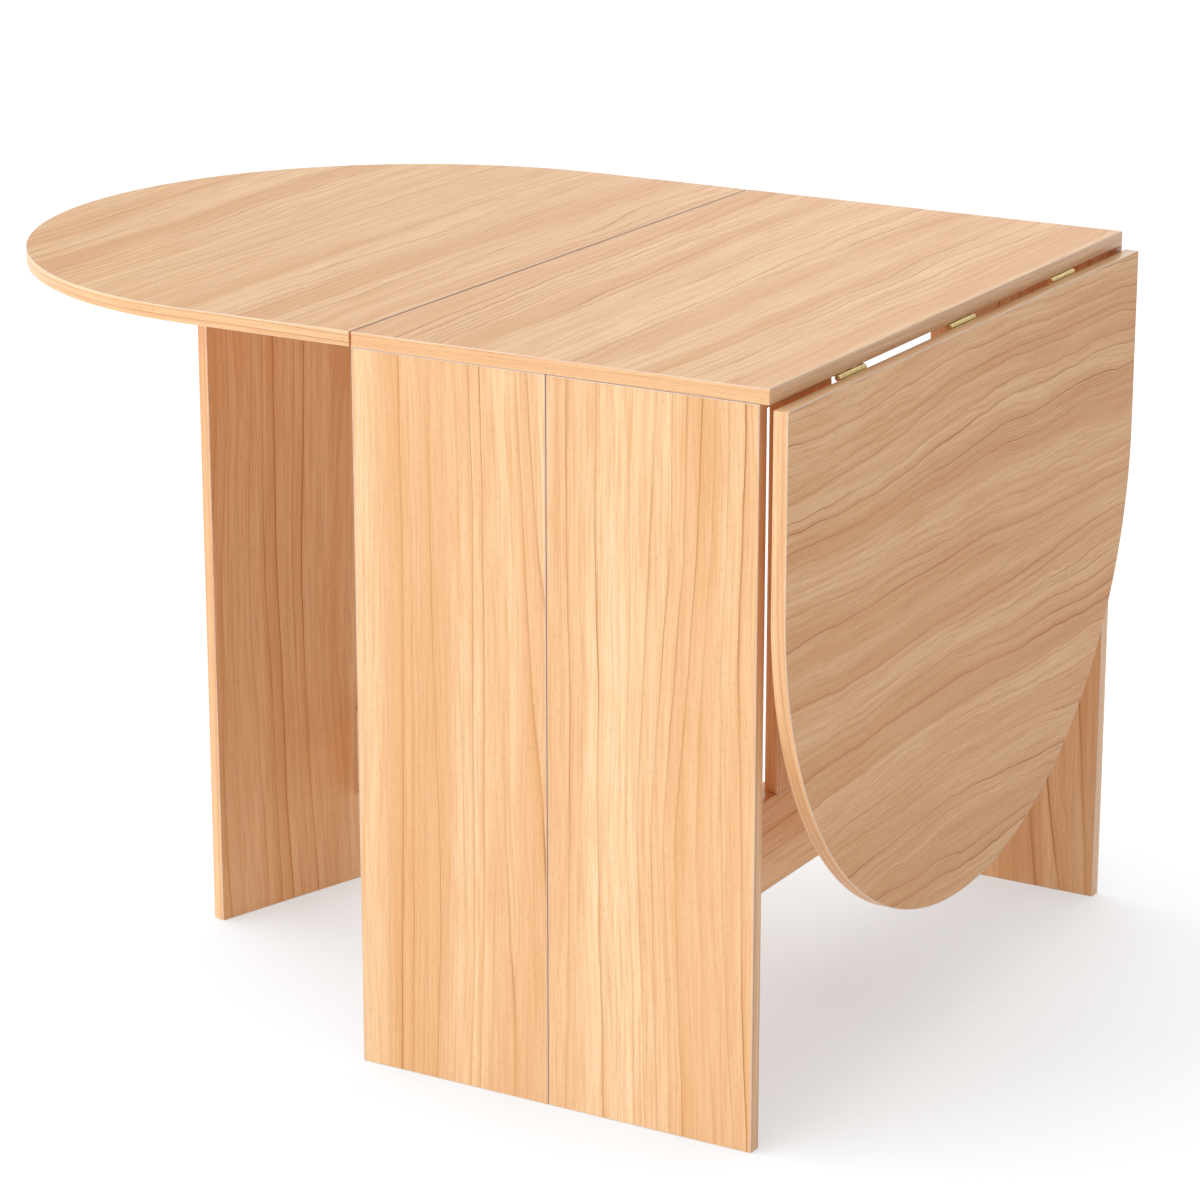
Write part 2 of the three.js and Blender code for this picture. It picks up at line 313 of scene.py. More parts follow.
@dataclass(frozen=True)
class WoodPrint:
    """The figure of a printed wood decor. Growth rings are cut lengthways, and each darkens slowly towards a
    fine line. They lie over soft bands of colour, with fibres and pores. Lengths are in metres.

    Attributes:
        pale: the ground colour.
        warm: the colour of the darker bands.
        line: the colour of the growth lines.
        pore: the colour of the fine pores.
        wander: how far a growth ring strays sideways along its length.
        ripple: how far its small waves stray.
        ripple_pitch: the length of these waves along the grain.
        ring_pitch: the mean width of a growth ring.
        figure: how strongly the rings bunch and turn into arches, in rings.
        fine_pitch: the mean distance between the fine lines inside the rings.
        ring_depth: how much of the warm colour a ring gathers towards its edge.
        line_depth: how much of the line colour shows.
        band_width: the width of the lighter and darker bands.
        band_depth: how much of the warm colour the bands show.
        fibre_depth: how much of the fibre streaks shows.
        pore_depth: how much of the pores shows.
    """

    pale: str = "F3CDA2"
    warm: str = "DBA06B"
    line: str = "B67C4A"
    pore: str = "A9744B"
    wander: float = 0.026
    ripple: float = 0.0022
    ripple_pitch: float = 0.09
    ring_pitch: float = 0.016
    figure: float = 4.2
    fine_pitch: float = 0.0037
    ring_depth: float = 0.62
    line_depth: float = 1.75
    band_width: float = 0.07
    band_depth: float = 0.62
    fibre_depth: float = 0.4
    pore_depth: float = 0.26

    def stray(self, sheet: NodeSheet, across: Any, along: Any) -> Any:
        """Lets the grain wander and ripple.

        Args:
            sheet: the material's nodes.
            across: the place across the grain.
            along: the place along the grain.

        Returns:
            The strayed place across the grain.
        """
        straight = sheet.join(across, along)
        slow = sheet.noise(straight, (3.0, 1.5, 1.0))
        quick = sheet.noise(straight, (16.0, 1 / self.ripple_pitch, 1.0), 3.1, 5.0)
        strayed = sheet.math("MULTIPLY_ADD", sheet.math("SUBTRACT", slow, 0.5), 2 * self.wander, across)
        return sheet.math("MULTIPLY_ADD", sheet.math("SUBTRACT", quick, 0.5), 2 * self.ripple, strayed)

    def rings(self, sheet: NodeSheet, phase: Any, shift: float = 0.0) -> tuple[Any, Any]:
        """Draws growth rings of uneven strength.

        Args:
            sheet: the material's nodes.
            phase: counts the rings across the grain.
            shift: is added to the seed, which sets how strong each ring is.

        Returns:
            How dark each place is on its way to the ring's edge, and the fine line at that edge.
        """
        faintest, gathering, unevenness = 0.08, 2.6, 1.9
        line_start, line_full, line_end = 0.84, 0.965, 0.975
        ring = sheet.math("FRACT", phase)
        chance = sheet.add("TexWhiteNoise", noise_dimensions="1D")
        start = 13 * (sheet.seed + shift)
        sheet.feed(chance.inputs["W"], sheet.math("ADD", sheet.math("FLOOR", phase), start))
        uneven = sheet.math("POWER", chance.outputs["Value"], unevenness)
        strength = sheet.math("MULTIPLY_ADD", uneven, 1 - faintest, faintest)
        close = sheet.ramp(ring, 1.0, line_end)
        dark = sheet.math("MULTIPLY", sheet.math("POWER", ring, gathering), close)
        edge = sheet.math("MULTIPLY", sheet.ramp(ring, line_start, line_full), close)
        return sheet.math("MULTIPLY", dark, strength), sheet.math("MULTIPLY", edge, strength)

    def draw(self, sheet: NodeSheet, across: Any, along: Any) -> dict[str, Any]:
        """Draws the figure.

        Args:
            sheet: the material's nodes.
            across: the place across the grain.
            along: the place along the grain.

        Returns:
            The sockets "color", "fibre" and "pores".
        """
        fine_dark_share, fine_line_share, strand_share, faint_share = 0.35, 0.55, 0.6, 0.3
        strayed = self.stray(sheet, across, along)
        place = sheet.join(strayed, along)
        arches = sheet.noise(place, (8.0, 0.7, 1.0), 5.7, 1.5)
        phase = sheet.math("MULTIPLY", strayed, 1 / self.ring_pitch)
        phase = sheet.math("MULTIPLY_ADD", arches, 2 * self.figure, phase)
        dark, line = self.rings(sheet, phase)
        warped = sheet.math("MULTIPLY", sheet.noise(place, (60.0, 3.0, 1.0), 2.4), 3.0)
        fine_phase = sheet.math("MULTIPLY_ADD", phase, self.ring_pitch / self.fine_pitch, warped)
        fine_dark, fine_line = self.rings(sheet, fine_phase, 0.9)
        lively = sheet.ramp(sheet.noise(place, (13.0, 1.6, 1.0), 8.3, 2.0), 0.4, 0.62)
        unbroken = sheet.ramp(sheet.noise(place, (34.0, 3.6, 1.0), 9.6, 2.0), 0.34, 0.6)

        bands = sheet.noise(place, (1 / self.band_width, 0.4, 1.0), 11.9, 3.0)
        tone = sheet.math("MULTIPLY", sheet.ramp(bands, 0.36, 0.66), self.band_depth)
        tone = sheet.math("MULTIPLY_ADD", dark, self.ring_depth, tone)
        tone = sheet.math("MULTIPLY_ADD", sheet.math("MULTIPLY", fine_dark, lively), fine_dark_share, tone)
        lines = sheet.math("MULTIPLY_ADD", sheet.math("MULTIPLY", fine_line, lively), fine_line_share, line)
        lines = sheet.math("MULTIPLY", lines, self.line_depth)
        for mask in (unbroken, lively):
            shown = sheet.math("MULTIPLY_ADD", mask, 1 - faint_share, faint_share)
            lines = sheet.math("MULTIPLY", lines, shown)

        fibre = sheet.noise(place, (430.0, 11.0, 1.0), 14.2, 3.0)
        strands = sheet.ramp(sheet.noise(place, (165.0, 4.0, 1.0), 21.3, 2.0), 0.48, 0.62)
        streaks = sheet.math("MULTIPLY_ADD", strands, strand_share, sheet.ramp(fibre, 0.42, 0.64))
        streaks = sheet.math("MULTIPLY", streaks, self.fibre_depth)
        pores = sheet.ramp(sheet.noise(place, (1500.0, 120.0, 1.0), 17.4), 0.58, 0.72)

        color = sheet.blend(sheet.math("MINIMUM", tone, 1.0), linear(self.pale), linear(self.warm))
        color = sheet.blend(streaks, color, linear(self.warm))
        color = sheet.blend(sheet.math("MINIMUM", lines, 0.95), color, linear(self.line))
        color = sheet.blend(sheet.math("MULTIPLY", pores, self.pore_depth), color, linear(self.pore))
        return {"color": color, "fibre": fibre, "pores": pores}


TOP_PRINT = WoodPrint(
    pale="F0C191",
    warm="D99764",
    line="A86839",
    ripple=0.0085,
    ripple_pitch=0.11,
    ring_pitch=0.0115,
    figure=5.0,
    line_depth=1.6,
    band_width=0.045,
)
EDGE_PRINT = WoodPrint(
    pale="F0C391",
    warm="D99A64",
    wander=0.004,
    ripple=0.0005,
    ring_pitch=0.006,
    fine_pitch=0.0016,
    band_width=0.008,
)


@dataclass(frozen=True)
class LaminateFinish(Finish):
    """A satin melamine face with the grain along the piece's own Y axis.

    Attributes:
        figure: the printed figure.
        roughness: the mean roughness.
        fibre_roughness: how much the roughness varies with the fibres.
        handled_roughness: how much it varies where the face is handled.
        coat: how much of the smooth melamine coat shows.
        coat_roughness: the roughness of the coat.
        specular: how strongly the print below the coat reflects.
        pore_height: how deep the embossed pores are.
        emboss: how much of the embossing shows.
    """

    figure: WoodPrint = WoodPrint()
    roughness: float = 0.42
    fibre_roughness: float = 0.14
    handled_roughness: float = 0.08
    coat: float = 0.05
    coat_roughness: float = 0.22
    specular: float = 0.1
    pore_height: float = 0.03 * MM
    emboss: float = 0.6

    def draw(self, sheet: NodeSheet) -> dict[str, Any]:
        """Draws the laminate.

        Args:
            sheet: the material's nodes.

        Returns:
            The shader's inputs by name.
        """
        across, along, _ = sheet.split(sheet.place())
        drawn = self.figure.draw(sheet, across, along)
        handled = sheet.noise(sheet.place(), (6.0, 6.0, 6.0), detail=4.0)
        least = self.roughness - (self.fibre_roughness + self.handled_roughness) / 2
        rough = sheet.math("MULTIPLY_ADD", drawn["fibre"], self.fibre_roughness, least)
        height = sheet.math("MULTIPLY_ADD", drawn["pores"], -1.0, drawn["fibre"])
        return {
            "Base Color": drawn["color"],
            "Roughness": sheet.math("MULTIPLY_ADD", handled, self.handled_roughness, rough),
            "Normal": sheet.bump(height, self.pore_height, self.emboss),
            "Coat Weight": self.coat,
            "Coat Roughness": self.coat_roughness,
            "Specular IOR Level": self.specular,
        }


@dataclass(frozen=True)
class EdgingFinish(Finish):
    """A printed edge band, with the grain along the band and a painted highlight along the arris on both
    sides.

    Attributes:
        figure: the printed figure.
        thickness: the height of the band, which is the board's thickness.
        arris: how wide the pale rim of painted highlight is.
        painted_highlight_depth: how much of the painted highlight's colour the rim shows.
        painted_highlight: the colour of the painted highlight.
        roughness: the mean roughness.
        fibre_roughness: how much the roughness varies with the fibres.
        coat: how much of the smooth coat shows.
        coat_roughness: the roughness of the coat.
    """

    figure: WoodPrint
    thickness: float
    arris: float = 0.9 * MM
    painted_highlight_depth: float = 0.65
    painted_highlight: str = "E6DACE"
    roughness: float = 0.4
    fibre_roughness: float = 0.16
    coat: float = 0.2
    coat_roughness: float = 0.25

    def draw(self, sheet: NodeSheet) -> dict[str, Any]:
        """Draws the edge band.

        Args:
            sheet: the material's nodes.

        Returns:
            The shader's inputs by name.
        """
        along, height, _ = sheet.split(sheet.add("UVMap", uv_map=BAND_UV).outputs[0])
        drawn = self.figure.draw(sheet, height, along)
        # Painted highlight: a pale rim along both arrises, broken up by the fibres, stands in for light
        # caught by the rounded edges.
        off_middle = sheet.math("ABSOLUTE", height)
        rim = sheet.ramp(off_middle, self.thickness / 2 - self.arris, self.thickness / 2)
        rim = sheet.math("MULTIPLY", rim, sheet.ramp(drawn["fibre"], 0.0, 0.55))
        shown = sheet.math("MULTIPLY", rim, self.painted_highlight_depth)
        least = self.roughness - self.fibre_roughness / 2
        return {
            "Base Color": sheet.blend(shown, drawn["color"], linear(self.painted_highlight)),
            "Roughness": sheet.math("MULTIPLY_ADD", drawn["fibre"], self.fibre_roughness, least),
            "Normal": sheet.bump(drawn["fibre"], 0.02 * MM, 0.5),
            "Coat Weight": self.coat,
            "Coat Roughness": self.coat_roughness,
        }


@dataclass(frozen=True)
class MetalFinish(Finish):
    """A plated metal with fine rolling marks and duller handled patches.

    Attributes:
        bright: the colour of the metal where it is clean.
        dull: the colour where it is handled.
        roughness: the mean roughness.
        streak: how many rolling marks a metre holds along each axis.
        mark_roughness: how much the roughness varies with the marks.
        dull_roughness: how much rougher the duller patches are.
        dullness: how much of the dull colour the patches show.
    """

    bright: str
    dull: str
    roughness: float
    streak: tuple[float, float, float] = (2600.0, 160.0, 2600.0)
    mark_roughness: float = 0.16
    dull_roughness: float = 0.1
    dullness: float = 0.3

    def draw(self, sheet: NodeSheet) -> dict[str, Any]:
        """Draws the metal.

        Args:
            sheet: the material's nodes.

        Returns:
            The shader's inputs by name.
        """
        place = sheet.place()
        marks = sheet.noise(place, self.streak, detail=2.0)
        patches = sheet.ramp(sheet.noise(place, (220.0, 220.0, 220.0), 2.9, 3.0), 0.42, 0.7)
        dulled = sheet.math("MULTIPLY", patches, self.dullness)
        least = self.roughness - self.mark_roughness / 2
        rough = sheet.math("MULTIPLY_ADD", marks, self.mark_roughness, least)
        return {
            "Base Color": sheet.blend(dulled, linear(self.bright), linear(self.dull)),
            "Metallic": 1.0,
            "Roughness": sheet.math("MULTIPLY_ADD", patches, self.dull_roughness, rough),
            "Normal": sheet.bump(marks, 0.004 * MM, 0.2),
        }


@dataclass(frozen=True)
class FloorFinish(Finish):
    """A plain pale floor with a faint cloudiness. It glows of itself, and the glow is dimmed under things
    that cover it, which paints shade on it.

    Attributes:
        pale: the floor's colour.
        cloud: the colour of its faint clouds.
        glow: how much light it gives of itself in the open, which keeps it as pale as the studio's walls.
        painted_shade_glow: how much it gives of itself where it is wholly covered, which paints shade under
            things.
        reach: how high above it a thing still casts painted shade on it.
        roughness: its roughness.
    """

    pale: str = "969696"
    cloud: str = "919192"
    glow: float = 0.8
    painted_shade_glow: float = 0.46
    reach: float = 0.85
    roughness: float = 0.85

    def draw(self, sheet: NodeSheet) -> dict[str, Any]:
        """Draws the floor.

        Args:
            sheet: the material's nodes.

        Returns:
            The shader's inputs by name.
        """
        clouds = sheet.noise(sheet.place(), (0.7, 0.7, 0.7), detail=2.0)
        # Painted shade: ambient occlusion dims the floor's glow under and around things, as a painted
        # contact shadow.
        painted_shade_ao = sheet.add("AmbientOcclusion", samples=8)
        sheet.feed(painted_shade_ao.inputs["Distance"], self.reach)
        painted_shade_depth = self.glow - self.painted_shade_glow
        glow = sheet.math("MULTIPLY_ADD", painted_shade_ao.outputs["AO"], painted_shade_depth, self.painted_shade_glow)
        return {
            "Base Color": sheet.blend(clouds, linear(self.pale), linear(self.cloud)),
            "Roughness": self.roughness,
            "Emission Color": (1.0, 1.0, 1.0, 1.0),
            "Emission Strength": glow,
        }


# ---- Meshes ----

BAND_UV = "band"
ALONG_Y = Matrix.Rotation(-math.pi / 2, 4, "X")
ARC_STEPS = 4
ROUND_STEPS = 40
CORNER = 0.8 * MM
LEAST_CORNER = 0.02 * MM


def arc(center: Point, radius: float, start: float, end: float, steps: int = ARC_STEPS) -> list[Point]:
    """Points on a round stretch between two angles in degrees, with this many straight steps."""
    angles = [math.radians(start + (end - start) * i / steps) for i in range(steps + 1)]
    return [(center[0] + radius * math.cos(a), center[1] + radius * math.sin(a)) for a in angles]


class Outline(ABC):
    """The plan of a flat piece. It can be drawn again a little smaller all round, with as many points."""

    @abstractmethod
    def points(self, inset: float = 0.0) -> list[Point]:
        """Its points, counter-clockwise, when it is smaller by the inset all round."""


@dataclass(frozen=True)
class RectangleOutline(Outline):
    """A rectangle with rounded corners.

    Attributes:
        low: its lowest corner.
        high: its highest corner.
        corner: the radius of its corners.
    """

    low: Point
    high: Point
    corner: float = CORNER

    def points(self, inset: float = 0.0) -> list[Point]:
        """Draws the rectangle.

        Args:
            inset: how much smaller it is all round.

        Returns:
            Its points, counter-clockwise.
        """
        radius = max(self.corner - inset, LEAST_CORNER)
        x0, y0 = [edge + inset + radius for edge in self.low]
        x1, y1 = [edge - inset - radius for edge in self.high]
        corners = [((x0, y0), 180), ((x1, y0), 270), ((x1, y1), 0), ((x0, y1), 90)]
        return [p for center, start in corners for p in arc(center, radius, start, start + 90)]


@dataclass(frozen=True)
class LeafOutline(Outline):
    """A leaf: a straight stretch from its hinged edge at x = 0, and then a half-round end.

    Attributes:
        straight: the length of the straight stretch.
        half_depth: half of the leaf's depth, and the radius of its end.
        corner: the radius of the corners at the hinged edge.
        steps: how many straight steps the half-round end is made of.
    """

    straight: float
    half_depth: float
    corner: float = CORNER
    steps: int = 144

    def points(self, inset: float = 0.0) -> list[Point]:
        """Draws the leaf.

        Args:
            inset: how much smaller it is all round.

        Returns:
            Its points, counter-clockwise.
        """
        radius = max(self.corner - inset, LEAST_CORNER)
        x0, y1 = inset + radius, self.half_depth - inset - radius
        hinged = [*arc((x0, y1), radius, 90, 180), *arc((x0, -y1), radius, 180, 270)]
        return [*hinged, *arc((self.straight, 0.0), self.half_depth - inset, -90, 90, self.steps)]


def mesh_from(name: str, points: Iterable[Sequence[float]], faces: Iterable[Sequence[int]]) -> Mesh:
    """Makes a mesh.

    Args:
        name: the mesh's name.
        points: its points.
        faces: its faces, as indices into the points.

    Returns:
        The mesh.
    """
    mesh = bpy.data.meshes.new(name)
    mesh.from_pydata([tuple(p) for p in points], [], [tuple(f) for f in faces])
    mesh.update()
    return mesh


def soften(mesh: Mesh, angle: float = 40.0) -> Mesh:
    """Shades a mesh smoothly across its flat bends, and keeps its sharper edges crisp.

    Args:
        mesh: the mesh.
        angle: the sharpest bend that is shaded smoothly, in degrees.

    Returns:
        The same mesh.
    """
    mesh.shade_smooth()
    mesh.set_sharp_from_angle(angle=math.radians(angle))
    return mesh


def coated(mesh: Mesh, material: bpy.types.Material) -> Mesh:
    """Gives a mesh its only material.

    Args:
        mesh: the mesh.
        material: its finish.

    Returns:
        The same mesh.
    """
    mesh.materials.clear()
    mesh.materials.append(material)
    return mesh


def quads(low: int, high: int, count: int) -> list[tuple[int, ...]]:
    """The faces between two rings of count points, which start at the points low and high."""
    return [(low + i, low + (i + 1) % count, high + (i + 1) % count, high + i) for i in range(count)]


def stacked(name: str, outline: Outline, rings: Sequence[Ring]) -> Mesh:
    """A solid whose outline changes with height, closed by a flat face at each end.

    Args:
        name: the mesh's name.
        outline: its plan.
        rings: how much smaller the outline is, and how high, from the lowest ring to the highest.

    Returns:
        The mesh.
    """
    points = [(x, y, z) for inset, z in rings for x, y in outline.points(inset)]
    count = len(points) // len(rings)
    faces: list[Sequence[int]] = [range(count - 1, -1, -1)]
    for k in range(len(rings) - 1):
        faces += quads(k * count, (k + 1) * count, count)
    faces.append(range(len(points) - count, len(points)))
    return mesh_from(name, points, faces)


def banded(name: str, outline: Outline, rings: Sequence[Ring]) -> Mesh:
    """A strip that runs round an outline, with its length and height written to its UV map in metres.

    Args:
        name: the mesh's name.
        outline: its plan.
        rings: the strip's section, counter-clockwise, as how much smaller the outline is, and how high.

    Returns:
        The mesh.
    """
    points = [(x, y, z) for inset, z in rings for x, y in outline.points(inset)]
    outer = outline.points()
    count = len(outer)
    lengths = [0.0]
    for i in range(count):
        lengths.append(lengths[-1] + math.dist(outer[i], outer[(i + 1) % count]))
    faces: list[Sequence[int]] = []
    uvs: list[Point] = []
    for k in range(len(rings)):
        after = (k + 1) % len(rings)
        faces += quads(k * count, after * count, count)
        low, high = rings[k][1], rings[after][1]
        for start, end in zip(lengths, lengths[1:]):
            uvs += [(start, low), (end, low), (end, high), (start, high)]
    mesh = mesh_from(name, points, faces)
    for loop, uv in zip(mesh.uv_layers.new(name=BAND_UV).data, uvs):
        loop.uv = uv
    return soften(mesh)


def turned(name: str, profile: Sequence[Point], steps: int = ROUND_STEPS) -> Mesh:
    """A solid turned about the Z axis.

    Args:
        name: the mesh's name.
        profile: its outline from the lowest point on the axis to the highest, as radius and height.
        steps: how many flats go round.

    Returns:
        The mesh.
    """
    inner = profile[1:-1]
    turns = [math.tau * i / steps for i in range(steps)]
    points: list[Sequence[float]] = [(0.0, 0.0, profile[0][1])]
    points += [(radius * math.cos(a), radius * math.sin(a), z) for radius, z in inner for a in turns]
    points.append((0.0, 0.0, profile[-1][1]))
    faces: list[Sequence[int]] = [(0, 1 + (i + 1) % steps, 1 + i) for i in range(steps)]
    for k in range(len(inner) - 1):
        faces += quads(1 + k * steps, 1 + (k + 1) * steps, steps)
    last, tip = 1 + (len(inner) - 1) * steps, len(points) - 1
    faces += [(last + i, last + (i + 1) % steps, tip) for i in range(steps)]
    return soften(mesh_from(name, points, faces))


def bar(name: str, radius: float, low: float, high: float, chamfer: float = 0.0) -> Mesh:
    """A round bar along Z.

    Args:
        name: the mesh's name.
        radius: its radius.
        low: the height of its lower end.
        high: the height of its upper end.
        chamfer: the width of the chamfer at its ends.

    Returns:
        The mesh.
    """
    if chamfer <= 0:
        return turned(name, [(0, low), (radius, low), (radius, high), (0, high)])
    lower = [(0, low), (radius - chamfer, low), (radius, low + chamfer)]
    upper = [(radius, high - chamfer), (radius - chamfer, high), (0, high)]
    return turned(name, [*lower, *upper])


def moved(mesh: Mesh, matrix: Matrix) -> Mesh:
    """Moves a mesh's points, and returns the same mesh."""
    mesh.transform(matrix)
    return mesh


class Boolean(Enum):
    """What is done with the meshes that are given to combined."""

    JOIN = "UNION"
    CUT = "DIFFERENCE"
    KEEP = "INTERSECT"


def combined(target: Mesh, others: Sequence[Mesh], boolean: Boolean) -> Mesh:
    """Joins meshes to a mesh, cuts them out of it, or keeps only what lies inside them.

    Args:
        target: the mesh to start from.
        others: the meshes to work with.
        boolean: what is done with them.

    Returns:
        A new mesh with the target's name.
    """
    body = bpy.data.objects.new("body", target)
    tools = [bpy.data.objects.new("tool", other) for other in others]
    for each in (body, *tools):
        bpy.context.scene.collection.objects.link(each)
    for tool in tools:
        modifier = body.modifiers.new("cut", "BOOLEAN")
        modifier.operation = boolean.value
        modifier.solver = "EXACT"
        modifier.object = tool
    depsgraph = bpy.context.evaluated_depsgraph_get()
    result = bpy.data.meshes.new_from_object(body.evaluated_get(depsgraph))
    for each in (body, *tools):
        bpy.data.objects.remove(each)
    result.name = target.name
    return result


def cross_recessed(
    target: Mesh, reach: float, half_width: float, corner: float, rings: Sequence[Ring]
) -> Mesh:
    """Cuts a cross recess for a screwdriver into a turned mesh.

    Args:
        target: the mesh.
        reach: how far an arm of the cross reaches from the axis.
        half_width: half of an arm's width.
        corner: the radius of its corners.
        rings: its section, as for a stacked mesh.

    Returns:
        A new mesh.
    """
    sizes = ((reach, half_width), (half_width, reach))
    arms = [stacked("arm", RectangleOutline((-x, -y), (x, y), corner), rings) for x, y in sizes]
    return combined(target, arms, Boolean.CUT)


# ---- Places ----


@dataclass(frozen=True)
class Box:
    """The lowest and highest corners of a space."""

    low: Vector
    high: Vector

    @classmethod
    def of(cls, node: str) -> "Box":
        """The box of a node of the frame."""
        return cls(*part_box(node))

    @property
    def center(self) -> Vector:
        """Its middle."""
        return (self.low + self.high) / 2

    @property
    def size(self) -> Vector:
        """Its size along each axis."""
        return self.high - self.low


@dataclass(frozen=True)
class Pivot:
    """The rest place of a joint of the frame, and the lowest angle of its range in degrees."""

    point: Vector
    axis: Vector
    lowest: float

    @classmethod
    def of(cls, name: str) -> "Pivot":
        """Reads the joint of this name."""
        joint = next(j for j in frame["joints"] if j["name"] == name)
        return cls(Vector(joint["pos_m"]), Vector(joint["axis"]), joint["range_deg"][0])

    def turn(self, degrees: float) -> Matrix:
        """A turn about this pivot."""
        there = Matrix.Translation(self.point)
        return there @ Matrix.Rotation(math.radians(degrees), 4, self.axis) @ there.inverted()


@dataclass(frozen=True)
class Seat:
    """Where right-hand pieces go, and the body that they move with."""

    carry: Matrix
    body: str

    def at(self, local: Matrix) -> "Seat":
        """The seat of a place among these pieces."""
        return Seat(self.carry @ local, self.body)


class Stance:
    """Carries right-hand pieces to where each side's bodies stand at rest."""

    RAISE_LEAF = 90.0
    HALF_TURN = 180.0

    def __init__(self) -> None:
        """Works out the left side's places from the frame's joints."""
        middle = Matrix.Translation(Box.of("centre_top").center)
        turn = middle @ Matrix.Rotation(math.radians(self.HALF_TURN), 4, "Z") @ middle.inverted()
        gate = Pivot.of("left_gate_swing")
        self.half_turn = turn
        self.opened_gate = gate.turn(-gate.lowest) @ turn
        self.raised_leaf = turn @ Pivot.of("right_leaf_fold").turn(self.RAISE_LEAF)

    def fixed(self, side: Side) -> Seat:
        """The seat of a side's fixed pieces."""
        return Seat(self.half_turn if side is Side.LEFT else Matrix.Identity(4), "frame")

    def gate(self, side: Side) -> Seat:
        """The seat of a side's gate."""
        return Seat(self.opened_gate if side is Side.LEFT else Matrix.Identity(4), f"{side.value}_gate")

    def leaf(self, side: Side) -> Seat:
        """The seat of a side's leaf."""
        return Seat(self.raised_leaf if side is Side.LEFT else Matrix.Identity(4), f"{side.value}_leaf")


class Workshop:
    """Places finished pieces on the table's bodies and keeps count of them."""

    SEED_STEP = 7.31

    def __init__(self) -> None:
        """Starts with an empty bench."""
        self.seed = 0.0
        self.count = 0

    def next_seed(self) -> float:
        """A new stretch of pattern for the next piece."""
        self.seed += self.SEED_STEP
        return self.seed

    def place(self, name: str, mesh: Mesh, seat: Seat, slot: str, replaces: str = "") -> None:
        """Puts a piece in its place.

        Args:
            name: the piece's name.
            mesh: its mesh, in its own frame.
            seat: where its own frame is, and the body that it moves with.
            slot: the record's material slot that it would take its finish from; not used.
            replaces: the node of the frame that it stands for, if there is one.
        """
        piece = bpy.data.objects.new(name, mesh)
        bpy.context.scene.collection.objects.link(piece)
        piece.matrix_world = seat.carry
        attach(piece, seat.body)
        if replaces:
            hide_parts(replaces)
        self.count += 1
        log.info("placed %s on %s", name, seat.body)


# ---- Boards ----


@dataclass(frozen=True)
class BoardMaker:
    """Makes laminated boards: a core with two printed faces, and an edge band round it.

    Attributes:
        shop: places the pieces.
        face: the finish of the faces.
        edging: the finish of the edge bands.
        band: the thickness of an edge band.
        arris: the radius that a band's outer edges are rounded to.
        groove: the width of the fine groove between a face and a band.
    """

    EDGE_SEED = 1.7

    shop: Workshop
    face: LaminateFinish
    edging: EdgingFinish
    band: float = 0.9 * MM
    arris: float = 0.6 * MM
    groove: float = 0.12 * MM

    def core_rings(self, half: float) -> list[Ring]:
        """The section of a core, with its edges broken towards the grooves.

        Args:
            half: half of the board's thickness.

        Returns:
            Its rings, from the lowest to the highest.
        """
        side = self.band + self.groove / 2
        low = [(side + self.groove, -half), (side, -half + self.groove)]
        return [*low, *((inset, -z) for inset, z in reversed(low))]

    def band_rings(self, half: float) -> list[Ring]:
        """The section of an edge band, counter-clockwise, with its two outer edges rounded.

        Args:
            half: half of the board's thickness.

        Returns:
            Its rings.
        """
        inner = self.band - self.groove / 2
        rounding = arc((self.arris, self.arris - half), self.arris, 270, 180)
        return [(inner, -half), *rounding, *((inset, -z) for inset, z in reversed(rounding)), (inner, half)]

    def make(
        self,
        node: str,
        outline: Outline,
        thickness: float,
        seat: Seat,
        slot: str,
        pockets: Sequence[Mesh] = (),
    ) -> None:
        """Makes one board with its edge band.

        Args:
            node: the node of the frame that it stands for.
            outline: its plan, with the grain along Y.
            thickness: its thickness, half of it on each side of the plan.
            seat: where its own frame is, and the body that it moves with.
            slot: the record's material slot of its finish.
            pockets: meshes that are cut out of its core.
        """
        name, seed = f"{node}_board", self.shop.next_seed()
        core = stacked(name, outline, self.core_rings(thickness / 2))
        if pockets:
            core = combined(core, pockets, Boolean.CUT)
        self.shop.place(name, coated(core, self.face.material(f"{name}_laminate", seed)), seat, slot, node)
        edge = banded(f"{name}_edging", outline, self.band_rings(thickness / 2))
        printed = self.edging.material(edge.name, seed + self.EDGE_SEED)
        self.shop.place(edge.name, coated(edge, printed), seat, slot)

    def from_box(
        self, node: str, box: Box, grain: Axis, seat: Seat, slot: str, pockets: Sequence[Mesh] = ()
    ) -> None:
        """Makes a rectangular board that fills a box. Its thickness is the box's smallest size.

        Args:
            node: the node of the frame that it stands for.
            box: the box, in the right side's places.
            grain: the axis that the grain runs along.
            seat: where the right side's places go, and the body that it moves with.
            slot: the record's material slot of its finish.
            pockets: meshes that are cut out of its core, in the right side's places.
        """
        thin = Axis(min(range(3), key=lambda i: box.size[i]))
        along, normal = grain.direction, thin.direction
        across = along.cross(normal)
        turn = Matrix((across, along, normal)).transposed().to_4x4()
        local = Matrix.Translation(box.center) @ turn
        width, length = abs(box.size.dot(across)), box.size[grain.value]
        outline = RectangleOutline((-width / 2, -length / 2), (width / 2, length / 2))
        cuts = [moved(pocket, local.inverted()) for pocket in pockets]
        self.make(node, outline, box.size[thin.value], seat.at(local), slot, cuts)


# ---- Fittings ----


